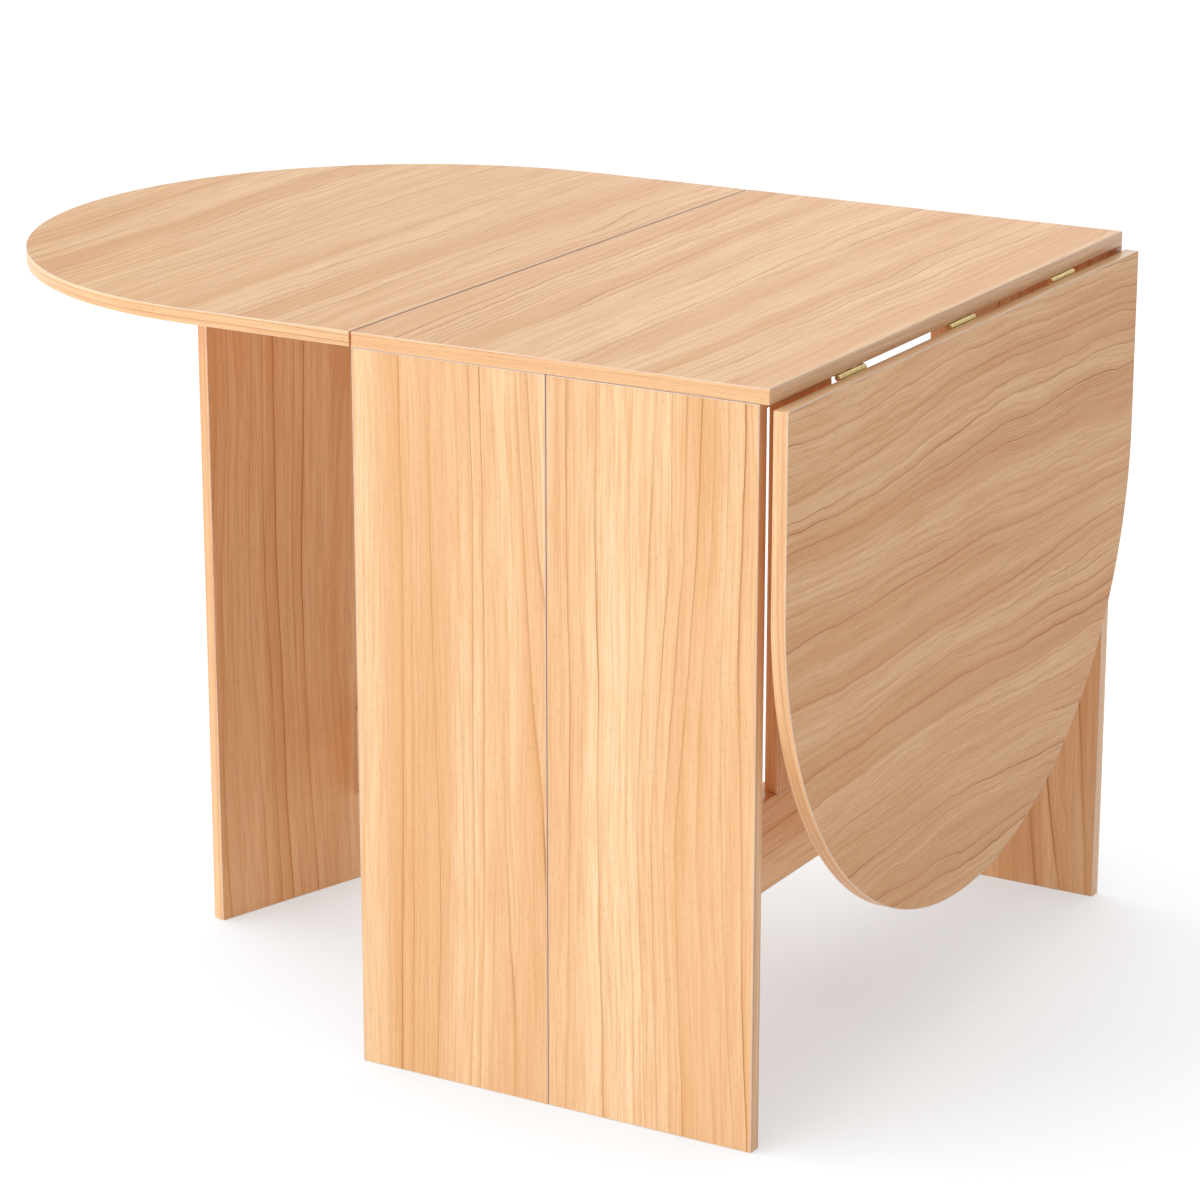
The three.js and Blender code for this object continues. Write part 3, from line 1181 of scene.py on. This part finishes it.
@dataclass(frozen=True)
class ScrewMaker:
    """Makes countersunk screws with a cross recess. Only the part that shows above the wood is full size.

    The sizes from shank to draft are shares of the head's radius, and the last three are shares of the depth
    of its cone.

    Attributes:
        shop: places the pieces.
        finish: the screws' metal.
        slot: the record's material slot of their finish.
        shank: the radius of the shank.
        rim: the height of the head's upright rim.
        flat: the radius of the head's flat face.
        wing: how far the recess reaches.
        blade: half the width of the recess.
        corner: the radius of the recess's corners.
        draft: how much narrower the recess is at its floor.
        stem: how deep the shank goes.
        floor: how deep the recess goes.
        above: how far the cutter of the recess stands out.
    """

    SOFT_ANGLE = 35
    STEPS = 28

    shop: Workshop
    finish: MetalFinish
    slot: str
    shank: float = 0.55
    rim: float = 0.08
    flat: float = 0.94
    wing: float = 0.62
    blade: float = 0.11
    corner: float = 0.06
    draft: float = 0.05
    stem: float = 1.6
    floor: float = 0.7
    above: float = 1.0

    def mesh(self, name: str, radius: float, depth: float) -> Mesh:
        """Makes the mesh that all screws of one size share. The head's face is at z = 0.

        Args:
            name: the mesh's name.
            radius: the head's radius.
            depth: how deep the head's cone goes.

        Returns:
            The mesh.
        """
        shank, bottom = self.shank * radius, -self.stem * depth
        cone = [(0, bottom), (shank, bottom), (shank, -depth), (radius, -self.rim * radius)]
        head = turned(name, [*cone, (self.flat * radius, 0), (0, 0)], self.STEPS)
        rings = [(self.draft * radius, -self.floor * depth), (0.0, self.above * depth)]
        sizes = (self.wing * radius, self.blade * radius, self.corner * radius)
        head = cross_recessed(head, *sizes, rings)
        coated(head, self.finish.material(name, self.shop.next_seed()))
        return soften(head, self.SOFT_ANGLE)

    def drive(self, name: str, mesh: Mesh, seat: Seat) -> None:
        """Puts one screw in. The seat is the place of its head's face, with Z out of the wood."""
        self.shop.place(name, mesh, seat, self.slot)


@dataclass(frozen=True)
class HingeSize:
    """The sizes of a butt hinge.

    Attributes:
        length: its length along the pin.
        reach: from the pin's centre line to the far edge of a plate.
        knuckle: the radius of its knuckles.
        pin: the radius of its pin.
        gap: between a plate and the boards' face.
        plate: the thickness of a plate.
        clearance: from a knuckle to the boards' face.
    """

    length: float
    reach: float
    knuckle: float
    pin: float
    gap: float = 0.3 * MM
    plate: float = 1.2 * MM
    clearance: float = 0.2 * MM

    @classmethod
    def of(cls, stem: str) -> "HingeSize":
        """Reads the sizes from the boxes of the fixed plate and the pin.

        Args:
            stem: what the names of the hinge's nodes start with.

        Returns:
            The sizes.
        """
        plate, pin = Box.of(f"{stem}_fixed_plate"), Box.of(f"{stem}_pin")
        longest = max(range(3), key=lambda i: pin.size[i])
        edges = [(i, edge[i]) for i in range(3) if i != longest for edge in (plate.low, plate.high)]
        reaches = [abs(pin.center[i] - edge) for i, edge in edges]
        return cls(pin.size[longest], max(reaches), min(reaches), min(pin.size) / 2)

    @property
    def plate_span(self) -> tuple[float, float]:
        """The heights that a plate lies between, above the pin's centre line."""
        top = self.knuckle + self.clearance - self.gap
        return top - self.plate, top


class HingeMaker:
    """Makes butt hinges of one size.

    In a hinge's own frame the pin is the Y axis, the fixed plate reaches out towards -X and the moving plate
    towards +X, and the boards' face is above the pin.
    """

    KNUCKLES = 5
    KNUCKLE_GAP = 0.25 * MM
    CLEARANCE = 0.6 * MM
    BORE = 0.15 * MM
    CORNER = 3.0 * MM
    EDGE = 0.2 * MM
    SCREW_INSET = 10.0 * MM
    HEAD_RADIUS = 2.9 * MM
    HOLE_PLAY = 0.12 * MM
    PAST = 1.0 * MM
    DOME = 0.35
    PIN_STEPS = 24
    SOFT_ANGLE = 35

    def __init__(self, name: str, stem: str, shop: Workshop, brass: MetalFinish, screws: ScrewMaker) -> None:
        """Makes the meshes that all hinges of this size share.

        Args:
            name: what the hinges are called.
            stem: what the names of one such hinge's nodes start with.
            shop: places the pieces.
            brass: their metal.
            screws: makes their screws.
        """
        self.size = HingeSize.of(stem)
        self.shop = shop
        self.screws = screws
        self.metal = brass.material(f"{name}_brass", shop.next_seed())
        self.fixed = self.plate_mesh(f"{name}_fixed_plate", -1, (0, 2, 4))
        self.moving = self.plate_mesh(f"{name}_moving_plate", 1, (1, 3))
        self.pin = self.pin_mesh(f"{name}_pin")
        self.screw = screws.mesh(f"{name}_screw", self.HEAD_RADIUS, self.size.plate)

    def spans(self) -> list[tuple[float, float]]:
        """The stretches along the pin that the knuckles take up."""
        pitch = (self.size.length + self.KNUCKLE_GAP) / self.KNUCKLES
        starts = [i * pitch - self.size.length / 2 for i in range(self.KNUCKLES)]
        return [(start, start + pitch - self.KNUCKLE_GAP) for start in starts]

    def screw_places(self, sign: int) -> list[Point]:
        """Where a plate's screws are.

        Args:
            sign: -1 for the fixed plate, 1 for the moving one.

        Returns:
            The middles of the screw heads.
        """
        x = sign * (self.size.knuckle + self.CLEARANCE + self.size.reach) / 2
        y = self.size.length / 2 - self.SCREW_INSET
        return [(x, -y), (x, y)]

    def plate_mesh(self, name: str, sign: int, own: Sequence[int]) -> Mesh:
        """Makes a plate with its knuckles rolled round the pin.

        Args:
            name: the mesh's name.
            sign: -1 for the fixed plate, 1 for the moving one.
            own: which knuckles belong to it.

        Returns:
            The mesh.
        """
        low, high = self.size.plate_span
        root, reach, half = self.size.knuckle + self.CLEARANCE, self.size.reach, self.size.length / 2
        rings = [(self.EDGE, low), (0.0, low + self.EDGE), (0.0, high - self.EDGE), (self.EDGE, high)]
        near, far = sorted((sign * (root - self.CORNER), sign * reach))
        flat = stacked(name, RectangleOutline((near, -half), (far, half), self.CORNER), rings)
        near, far = sorted((sign * (root - 2 * self.CORNER), sign * root))
        trim = RectangleOutline((near, -half - self.PAST), (far, half + self.PAST))
        trimmer = stacked("trim", trim, [(0, low - self.PAST), (0, high + self.PAST)])
        flat = combined(flat, [trimmer], Boolean.CUT)
        rolled = [part for i in own for part in self.knuckle_parts(sign, *self.spans()[i])]
        solid = combined(flat, rolled, Boolean.JOIN)
        solid = combined(solid, self.holes(sign), Boolean.CUT)
        return soften(coated(solid, self.metal), self.SOFT_ANGLE)

    def knuckle_parts(self, sign: int, start: float, end: float) -> list[Mesh]:
        """One knuckle, and the tab of plate that it is rolled from.

        Args:
            sign: -1 for the fixed plate, 1 for the moving one.
            start: where the knuckle starts along the pin.
            end: where it ends.

        Returns:
            The two meshes.
        """
        low, high = self.size.plate_span
        roll = moved(bar("knuckle", self.size.knuckle, start, end, self.EDGE), ALONG_Y)
        near, far = sorted((0.0, sign * (self.size.knuckle + self.CLEARANCE + self.size.plate)))
        tab = RectangleOutline((near, start), (far, end), self.EDGE)
        rings = [(0.0, low), (0.0, high - self.EDGE / 2), (self.EDGE / 2, high)]
        return [roll, stacked("tab", tab, rings)]

    def holes(self, sign: int) -> list[Mesh]:
        """The pin's bore and the countersunk screw holes.

        Args:
            sign: -1 for the fixed plate, 1 for the moving one.

        Returns:
            The meshes to cut out.
        """
        low, high = self.size.plate_span
        length = self.size.length
        cuts = [moved(bar("bore", self.size.pin + self.BORE, -length, length), ALONG_Y)]
        wide = self.HEAD_RADIUS + self.HOLE_PLAY
        narrow = self.screws.shank * self.HEAD_RADIUS + self.HOLE_PLAY
        mouth = [(0, low - self.PAST), (wide, low - self.PAST), (wide, low)]
        throat = [(narrow, high), (narrow, high + self.PAST), (0, high + self.PAST)]
        for x, y in self.screw_places(sign):
            cuts.append(moved(turned("sink", [*mouth, *throat]), Matrix.Translation((x, y, 0))))
        return cuts

    def pin_mesh(self, name: str) -> Mesh:
        """Makes the pin, with its ends domed over.

        Args:
            name: the mesh's name.

        Returns:
            The mesh.
        """
        half, radius = self.size.length / 2, self.size.pin
        dome = self.DOME * radius
        steps = [math.pi / 2 * i / ARC_STEPS for i in range(ARC_STEPS)]
        top = [(radius * math.cos(t), half - dome + dome * math.sin(t)) for t in steps]
        bottom = [(r, -z) for r, z in reversed(top)]
        pin = turned(name, [(0, -half), *bottom, *top, (0, half)], self.PIN_STEPS)
        return moved(coated(pin, self.metal), ALONG_Y)

    def hang(self, name: str, moving_node: str, fixed: Seat, moving: Seat) -> None:
        """Puts one hinge on with its screws.

        Args:
            name: the hinge's name, which its fixed plate's and pin's nodes start with.
            moving_node: the node of its moving plate.
            fixed: the seat of the hinge's own frame for its fixed plate and pin.
            moving: the same for its moving plate.
        """
        fixed_node = f"{name}_fixed_plate"
        plates = ((fixed_node, self.fixed, fixed), (moving_node, self.moving, moving))
        for node, mesh, seat in (plates[0], (f"{name}_pin", self.pin, fixed), plates[1]):
            self.shop.place(f"{node}_brass", mesh, seat, "brass", node)
        face_down = Matrix.Rotation(math.pi, 4, "X")
        for sign, (node, _, seat) in zip((-1, 1), plates):
            for i, (x, y) in enumerate(self.screw_places(sign), start=1):
                there = Matrix.Translation((x, y, self.size.plate_span[0])) @ face_down
                self.screws.drive(f"{node}_screw_{i}", self.screw, seat.at(there))


class CamMaker:
    """Makes the cam fittings that pull the end of a rail tight, and the pockets that they sit in."""

    PLAY = 0.3 * MM
    CHAMFER = 0.4 * MM
    SLOT_LENGTH = 4.6 * MM
    SLOT_WIDTH = 0.9 * MM
    SLOT_DEPTH = 2.2 * MM
    SLOT_CORNER = 0.3 * MM
    SLOT_DRAFT = 0.2 * MM
    PAST = 1.0 * MM
    RING_OUT = 0.82
    RING_IN = 0.7
    RING_DEPTH = 0.35 * MM
    SOFT_ANGLE = 35

    def __init__(self, shop: Workshop, steel: MetalFinish, sample: Box) -> None:
        """Makes the mesh that all cams share.

        Args:
            shop: places the pieces.
            steel: their metal.
            sample: the box of one cam that lies along X.
        """
        self.shop = shop
        self.radius = sample.size.y / 2
        self.depth = sample.size.x
        self.mesh = self.cam_mesh(steel.material("cam_zinc", shop.next_seed()))

    def cam_mesh(self, metal: bpy.types.Material) -> Mesh:
        """Makes a cam. Its face is at z = 0, with a cross recess and a shallow ring cast into it.

        Args:
            metal: its finish.

        Returns:
            The mesh.
        """
        radius, depth, chamfer, ring = self.radius, self.depth, self.CHAMFER, self.RING_DEPTH
        ring_out, ring_in = self.RING_OUT * radius, self.RING_IN * radius
        lower = [(0, -depth), (radius - chamfer, -depth), (radius, chamfer - depth)]
        upper = [(radius, -chamfer), (radius - chamfer, 0)]
        groove = [(ring_out, 0), (ring_out - ring, -ring), (ring_in + ring, -ring), (ring_in, 0)]
        body = turned("cam", [*lower, *upper, *groove, (0, 0)])
        rings = [(self.SLOT_DRAFT, -self.SLOT_DEPTH), (0.0, self.PAST)]
        body = cross_recessed(body, self.SLOT_LENGTH, self.SLOT_WIDTH, self.SLOT_CORNER, rings)
        return soften(coated(body, metal), self.SOFT_ANGLE)

    def mouth(self, box: Box, inward: int) -> Matrix:
        """The middle of the face of the cam in a box, with Z out of the wood and inward 1 or -1 along X."""
        face = Vector((box.low.x if inward > 0 else box.high.x, box.center.y, box.center.z))
        return Matrix.Translation(face) @ Matrix.Rotation(-inward * math.pi / 2, 4, "Y")

    def pocket(self, box: Box, inward: int) -> Mesh:
        """The pocket of the cam in a box, as a mesh to cut out. It goes inward 1 or -1 along X."""
        hole = bar("pocket", self.radius + self.PLAY / 2, -self.depth - self.PLAY, self.PAST)
        return moved(hole, self.mouth(box, inward))

    def fit(self, node: str, box: Box, inward: int, seat: Seat) -> None:
        """Puts a node's cam in its pocket. Its box is in the right side's places."""
        self.shop.place(f"{node}_zinc", self.mesh, seat.at(self.mouth(box, inward)), "steel", node)


@dataclass(frozen=True)
class AngleBracket:
    """The bent steel bracket in the corner between an end panel and the top.

    Attributes:
        shop: places the pieces.
        steel: its metal.
        screws: makes its screws.
        screw: the mesh that its screws share.
        thickness: the thickness of its steel.
        bend: the outer radius of its bend.
        end: the radius of the corners at the ends of its arms.
        screw_inset: how far its screws are from its outer corner.
    """

    BEND_STEPS = 8
    SOFT_ANGLE = 35

    shop: Workshop
    steel: MetalFinish
    screws: ScrewMaker
    screw: Mesh
    thickness: float = 2.0 * MM
    bend: float = 3.4 * MM
    end: float = 5.0 * MM
    screw_inset: float = 20.0 * MM

    def mesh(self, arm: float, width: float) -> Mesh:
        """Makes the bracket. Its bend lies along X, one arm reaches down and the other towards -Y.

        Args:
            arm: the length of an arm from the bend's outer corner.
            width: its width.

        Returns:
            The mesh.
        """
        center, inner = (-self.bend, -self.bend), self.bend - self.thickness
        outside = [(0.0, -arm), *arc(center, self.bend, 0, 90, self.BEND_STEPS), (-arm, 0.0)]
        turned_in = arc(center, inner, 90, 0, self.BEND_STEPS)
        section = [*outside, (-arm, -self.thickness), *turned_in, (-self.thickness, -arm)]
        count, half = len(section), width / 2
        points = [(x, y, z) for x in (-half, half) for y, z in section]
        faces = [range(count - 1, -1, -1), range(count, 2 * count), *quads(0, count, count)]
        body = mesh_from("top_bracket", points, faces)
        rounded = RectangleOutline((-half, -arm), (half, arm), self.end)
        level = stacked("keep", rounded, [(0, -2 * arm), (0, arm)])
        upright = moved(stacked("keep", rounded, [(0, -arm), (0, 2 * arm)]), ALONG_Y.inverted())
        for keep in (level, upright):
            body = combined(body, [keep], Boolean.KEEP)
        coated(body, self.steel.material("bracket_zinc", self.shop.next_seed()))
        return soften(body, self.SOFT_ANGLE)

    def fit(self, side: Side, seat: Seat, sample: Box) -> None:
        """Puts one bracket up with its screws.

        Args:
            side: the side of the table.
            seat: where the right side's places go, and the body that it moves with.
            sample: the right bracket's box.
        """
        node = f"{side.value}_top_bracket"
        corner = seat.at(Matrix.Translation((sample.center.x, sample.high.y, sample.high.z)))
        self.shop.place(f"{node}_zinc", self.mesh(sample.size.z, sample.size.x), corner, "steel", node)
        in_panel = Vector((0, -self.thickness, -self.screw_inset))
        in_top = Vector((0, -self.screw_inset, -self.thickness))
        for i, (point, angle) in enumerate(((in_panel, math.pi / 2), (in_top, math.pi)), start=1):
            there = Matrix.Translation(point) @ Matrix.Rotation(angle, 4, "X")
            self.screws.drive(f"{node}_screw_{i}", self.screw, corner.at(there))


# ---- Sub-assemblies of the table ----


@dataclass(frozen=True)
class Tools:
    """The makers that the sub-assemblies share."""

    stance: Stance
    boards: BoardMaker
    top_boards: BoardMaker
    cams: CamMaker
    bracket: AngleBracket
    gate_hinges: HingeMaker
    leaf_hinges: HingeMaker

    def rail(self, node: str, sample: str, inward: int, seat: Seat) -> Box:
        """Builds a rail with its cam.

        Args:
            node: the rail's node, which its cam's node starts with.
            sample: the same rail's node on the right side.
            inward: 1 or -1, the direction along X that the cam goes in.
            seat: where the right side's places go, and the body that it moves with.

        Returns:
            The right rail's box.
        """
        box, cam = Box.of(sample), Box.of(f"{sample}_cam")
        self.boards.from_box(node, box, Axis.Y, seat, "rail_board", [self.cams.pocket(cam, inward)])
        self.cams.fit(f"{node}_cam", cam, inward, seat)
        return box


@dataclass(frozen=True)
class Centre:
    """The fixed boards on the centre line: the top and the spine's two rails."""

    tools: Tools

    def build(self) -> None:
        """Builds the top and the spine."""
        seat, top = self.tools.stance.fixed(Side.RIGHT), "centre_top"
        self.tools.top_boards.from_box(top, Box.of(top), Axis.Y, seat, "top_board")
        for level in Level:
            node = f"spine_{level.value}_rail"
            self.tools.boards.from_box(node, Box.of(node), Axis.Y, seat, "rail_board")


@dataclass(frozen=True)
class EndFrame:
    """The fixed pieces of one side: its end panel, its two half rails and its bracket.

    Attributes:
        side: the side of the table.
        tools: the makers.
        screw_inset: how far behind a half rail's middle it is screwed to the spine.
        screw_heights: where these screws are, as shares of the rail's height.
    """

    side: Side
    tools: Tools
    screw_inset: float = 38.0 * MM
    screw_heights: tuple[float, float] = (0.3, 0.7)

    def build(self) -> None:
        """Builds the panel, the half rails and the bracket."""
        seat = self.tools.stance.fixed(self.side)
        panel = "back_end_panel" if self.side is Side.RIGHT else "front_end_panel"
        self.tools.boards.from_box(panel, Box.of("back_end_panel"), Axis.Z, seat, "panel_board")
        for level in Level:
            self.half_rail(level, seat)
        self.tools.bracket.fit(self.side, seat, Box.of("right_top_bracket"))

    def half_rail(self, level: Level, seat: Seat) -> None:
        """Builds one half rail with its cam and the two screws that hold it to the spine.

        Args:
            level: which of the two half rails.
            seat: where the right side's places go, and the body that it moves with.
        """
        stem, bracket = f"{level.value}_half_rail", self.tools.bracket
        node = f"{self.side.value}_{stem}"
        rail = self.tools.rail(node, f"right_{stem}", -1, seat)
        for i, share in enumerate(self.screw_heights, start=1):
            point = (rail.high.x, rail.center.y + self.screw_inset, rail.low.z + share * rail.size.z)
            there = Matrix.Translation(point) @ Matrix.Rotation(math.pi / 2, 4, "Y")
            bracket.screws.drive(f"{node}_screw_{i}", bracket.screw, seat.at(there))


@dataclass(frozen=True)
class Gate:
    """One gate: its leg, its two rails with their cams, and the stile between them, with its two hinges."""

    side: Side
    tools: Tools

    def build(self) -> None:
        """Builds the gate at its rest place."""
        seat = self.tools.stance.gate(self.side)
        for stem, slot in (("leg", "panel_board"), ("stile", "rail_board")):
            sample = Box.of(f"right_gate_{stem}")
            self.tools.boards.from_box(f"{seat.body}_{stem}", sample, Axis.Z, seat, slot)
        for level in Level:
            stem = f"{level.value}_rail"
            self.tools.rail(f"{seat.body}_{stem}", f"right_gate_{stem}", 1, seat)
            self.hang_hinge(level, seat)

    def hang_hinge(self, level: Level, seat: Seat) -> None:
        """Hangs one of the gate's hinges.

        Args:
            level: which of the two hinges.
            seat: where the closed gate's place goes, and its body.
        """
        pin = Matrix.Translation(Box.of(f"right_gate_hinge_{level.value}_pin").center)
        upright = Matrix(((0, -1, 0), (0, 0, 1), (-1, 0, 0))).transposed().to_4x4()
        hinge, place = f"{seat.body}_hinge_{level.value}", pin @ upright
        fixed = self.tools.stance.fixed(self.side).at(place)
        self.tools.gate_hinges.hang(hinge, f"{hinge}_gate_plate", fixed, seat.at(place))


@dataclass(frozen=True)
class Leaf:
    """One drop leaf with its three hinges."""

    side: Side
    tools: Tools
    places: tuple[str, ...] = ("front", "middle", "back")

    def build(self) -> None:
        """Builds the leaf and hangs its hinges."""
        seat, hanging = self.tools.stance.leaf(self.side), Box.of("right_leaf")
        half_depth = hanging.size.y / 2
        outline = LeafOutline(hanging.size.z - half_depth, half_depth)
        turn = Matrix(((0, 0, -1), (0, 1, 0), (1, 0, 0))).transposed().to_4x4()
        edge = Matrix.Translation((hanging.center.x, hanging.center.y, hanging.high.z))
        self.tools.top_boards.make(seat.body, outline, hanging.size.x, seat.at(edge @ turn), "top_board")
        folded = Matrix.Rotation(math.pi / 2, 4, "Y")
        samples = self.places if self.side is Side.RIGHT else self.places[::-1]
        for place, sample in zip(self.places, samples):
            pin = Matrix.Translation(Box.of(f"right_leaf_hinge_{sample}_pin").center)
            hinge, fixed = f"{seat.body}_hinge_{place}", self.tools.stance.fixed(self.side).at(pin)
            self.tools.leaf_hinges.hang(hinge, f"{hinge}_leaf_plate", fixed, seat.at(pin @ folded))


@dataclass(frozen=True)
class Table:
    """The whole table.

    Attributes:
        brass: the metal of the hinges and their screws.
        zinc: the metal of the other fittings.
        screw_radius: the radius of the other screws' heads.
        screw_depth: how deep their cones go.
    """

    brass: MetalFinish = MetalFinish("FCE9A6", "F0D286", 0.28)
    zinc: MetalFinish = MetalFinish("C9CBCD", "96999C", 0.38)
    screw_radius: float = 3.6 * MM
    screw_depth: float = 1.6 * MM

    def tools(self, shop: Workshop) -> Tools:
        """Sets up the makers.

        Args:
            shop: places the pieces.

        Returns:
            The makers.
        """
        edging = EdgingFinish(EDGE_PRINT, Box.of("centre_top").size.z)
        brass_screws = ScrewMaker(shop, self.brass, "brass")
        zinc_screws = ScrewMaker(shop, self.zinc, "steel")
        cams = CamMaker(shop, self.zinc, Box.of("right_lower_half_rail_cam"))
        leaf_hinges = HingeMaker("leaf_hinge", "right_leaf_hinge_middle", shop, self.brass, brass_screws)
        gate_hinges = HingeMaker("gate_hinge", "right_gate_hinge_lower", shop, self.brass, brass_screws)
        screw = zinc_screws.mesh("zinc_screw", self.screw_radius, self.screw_depth)
        return Tools(
            stance=Stance(),
            boards=BoardMaker(shop, LaminateFinish(), edging),
            top_boards=BoardMaker(shop, LaminateFinish(TOP_PRINT), edging),
            cams=cams,
            bracket=AngleBracket(shop, self.zinc, zinc_screws, screw),
            gate_hinges=gate_hinges,
            leaf_hinges=leaf_hinges,
        )

    def build(self) -> None:
        """Builds every sub-assembly in order."""
        shop = Workshop()
        tools = self.tools(shop)
        Centre(tools).build()
        for side in Side:
            for part in (EndFrame, Gate, Leaf):
                part(side, tools).build()
        log.info("%d pieces in all", shop.count)


# ---- Studio ----

WHITE = "FFFFFF"


def direction_to(azimuth: float, elevation: float) -> Vector:
    """The direction to a place this far round the table and above the horizon, in degrees."""
    turn, rise = math.radians(azimuth), math.radians(elevation)
    return Vector((math.sin(turn) * math.cos(rise), -math.cos(turn) * math.cos(rise), math.sin(rise)))


def set_up(name: str, data: Any, away: Vector) -> bpy.types.Object:
    """Adds a lamp or a camera that looks at the table.

    Args:
        name: its name.
        data: its lamp or camera data.
        away: the direction from the table to it.

    Returns:
        The new object.
    """
    thing = bpy.data.objects.new(name, data)
    bpy.context.scene.collection.objects.link(thing)
    thing.rotation_mode = "QUATERNION"
    thing.rotation_quaternion = (-away).to_track_quat("-Z", "Y")
    return thing


@dataclass(frozen=True)
class Lamp:
    """One light of the studio.

    Attributes:
        name: its name.
        azimuth: where it stands round the table, in degrees, 0 in front and 90 on the right.
        elevation: how high it stands, in degrees above the horizon.
        strength: its strength as a sun, in watts per square metre.
        spread: how wide it looks, in degrees, which softens its shadows.
        color: its colour.
    """

    name: str
    azimuth: float
    elevation: float
    strength: float
    spread: float
    color: str = WHITE

    def build(self) -> None:
        """Adds the light."""
        data = bpy.data.lights.new(self.name, "SUN")
        data.energy = self.strength
        data.angle = math.radians(self.spread)
        data.color = linear(self.color)[:3]
        set_up(self.name, data, direction_to(self.azimuth, self.elevation))


@dataclass(frozen=True)
class Surround:
    """White walls that glow as brightly as the floor up to a low height, under a dim ceiling.

    Attributes:
        wall: the strength of the walls.
        ceiling: the strength of the ceiling.
        wall_top: how far up the walls are fully bright, as the sine of the height's angle.
        ceiling_edge: where the ceiling's strength is reached, as the sine of the height's angle.
    """

    wall: float = 1.03
    ceiling: float = 0.08
    wall_top: float = 0.113
    ceiling_edge: float = 0.276

    def build(self) -> None:
        """Builds the world's light."""
        world = bpy.data.worlds.new("surround")
        world.use_nodes = True
        sheet = NodeSheet(world.node_tree)
        height = sheet.split(sheet.add("TexCoord").outputs["Generated"])[2]
        strength = sheet.ramp(height, self.wall_top, self.ceiling_edge, self.wall, self.ceiling)
        background = sheet.add("Background")
        sheet.feed(background.inputs["Color"], linear(WHITE))
        sheet.feed(background.inputs["Strength"], strength)
        sheet.feed(sheet.add("OutputWorld").inputs["Surface"], background.outputs[0])
        bpy.context.scene.world = world


@dataclass(frozen=True)
class Studio:
    """A plain pale floor, a white surround, soft light and the camera.

    Attributes:
        floor: the floor's finish.
        floor_seed: sets where its clouds lie.
        floor_radius: how far the floor reaches.
        floor_steps: how many straight steps its round edge is made of.
        surround: the walls and the ceiling.
        lamps: the lights.
        azimuth: where the camera stands round the table, in degrees, 0 in front and 90 on the right.
        elevation: how far it looks down, in degrees.
        distance: how far it is from what it looks at.
        aim: what it looks at, from the middle of the frame's box.
        lens: its focal length on a 36 mm wide sensor, in millimetres.
    """

    floor: FloorFinish = FloorFinish()
    floor_seed: float = 4.0
    floor_radius: float = 60.0
    floor_steps: int = 96
    surround: Surround = Surround()
    lamps: tuple[Lamp, ...] = (
        Lamp("front", -24.0, 9.0, 1.46, 40.0, "FFFBF4"),
        Lamp("key", -72.0, 58.0, 3.35, 74.0, "E4F3FF"),
        Lamp("back", 192.0, 28.0, 0.7, 54.0),
    )
    azimuth: float = 30.17
    elevation: float = 17.01
    distance: float = 4.255
    aim: tuple[float, float, float] = (0.103, 0.0, 0.009)
    lens: float = 121.2

    def build(self) -> None:
        """Builds the floor, the surround, the lights and the camera."""
        name = "studio_floor"
        turns = [math.tau * i / self.floor_steps for i in range(self.floor_steps)]
        points = [(self.floor_radius * math.cos(a), self.floor_radius * math.sin(a), 0.0) for a in turns]
        mesh = mesh_from(name, points, [range(len(points))])
        floor = bpy.data.objects.new(name, coated(mesh, self.floor.material(name, self.floor_seed)))
        bpy.context.scene.collection.objects.link(floor)
        self.surround.build()
        for lamp in self.lamps:
            lamp.build()
        self.camera()
        bpy.context.scene.view_settings.view_transform = "Standard"

    def camera(self) -> None:
        """Sets up the camera."""
        data = bpy.data.cameras.new("camera")
        data.lens = self.lens
        low, high = cad_box
        away = direction_to(self.azimuth, self.elevation)
        camera = set_up("camera", data, away)
        camera.location = (low + high) / 2 + Vector(self.aim) + self.distance * away
        bpy.context.scene.camera = camera


def main() -> None:
    """Builds the studio and the table, and reports each piece."""
    logging.basicConfig(level=logging.INFO, format="%(message)s")
    Studio().build()
    Table().build()


if __name__ == "__main__":
    main()
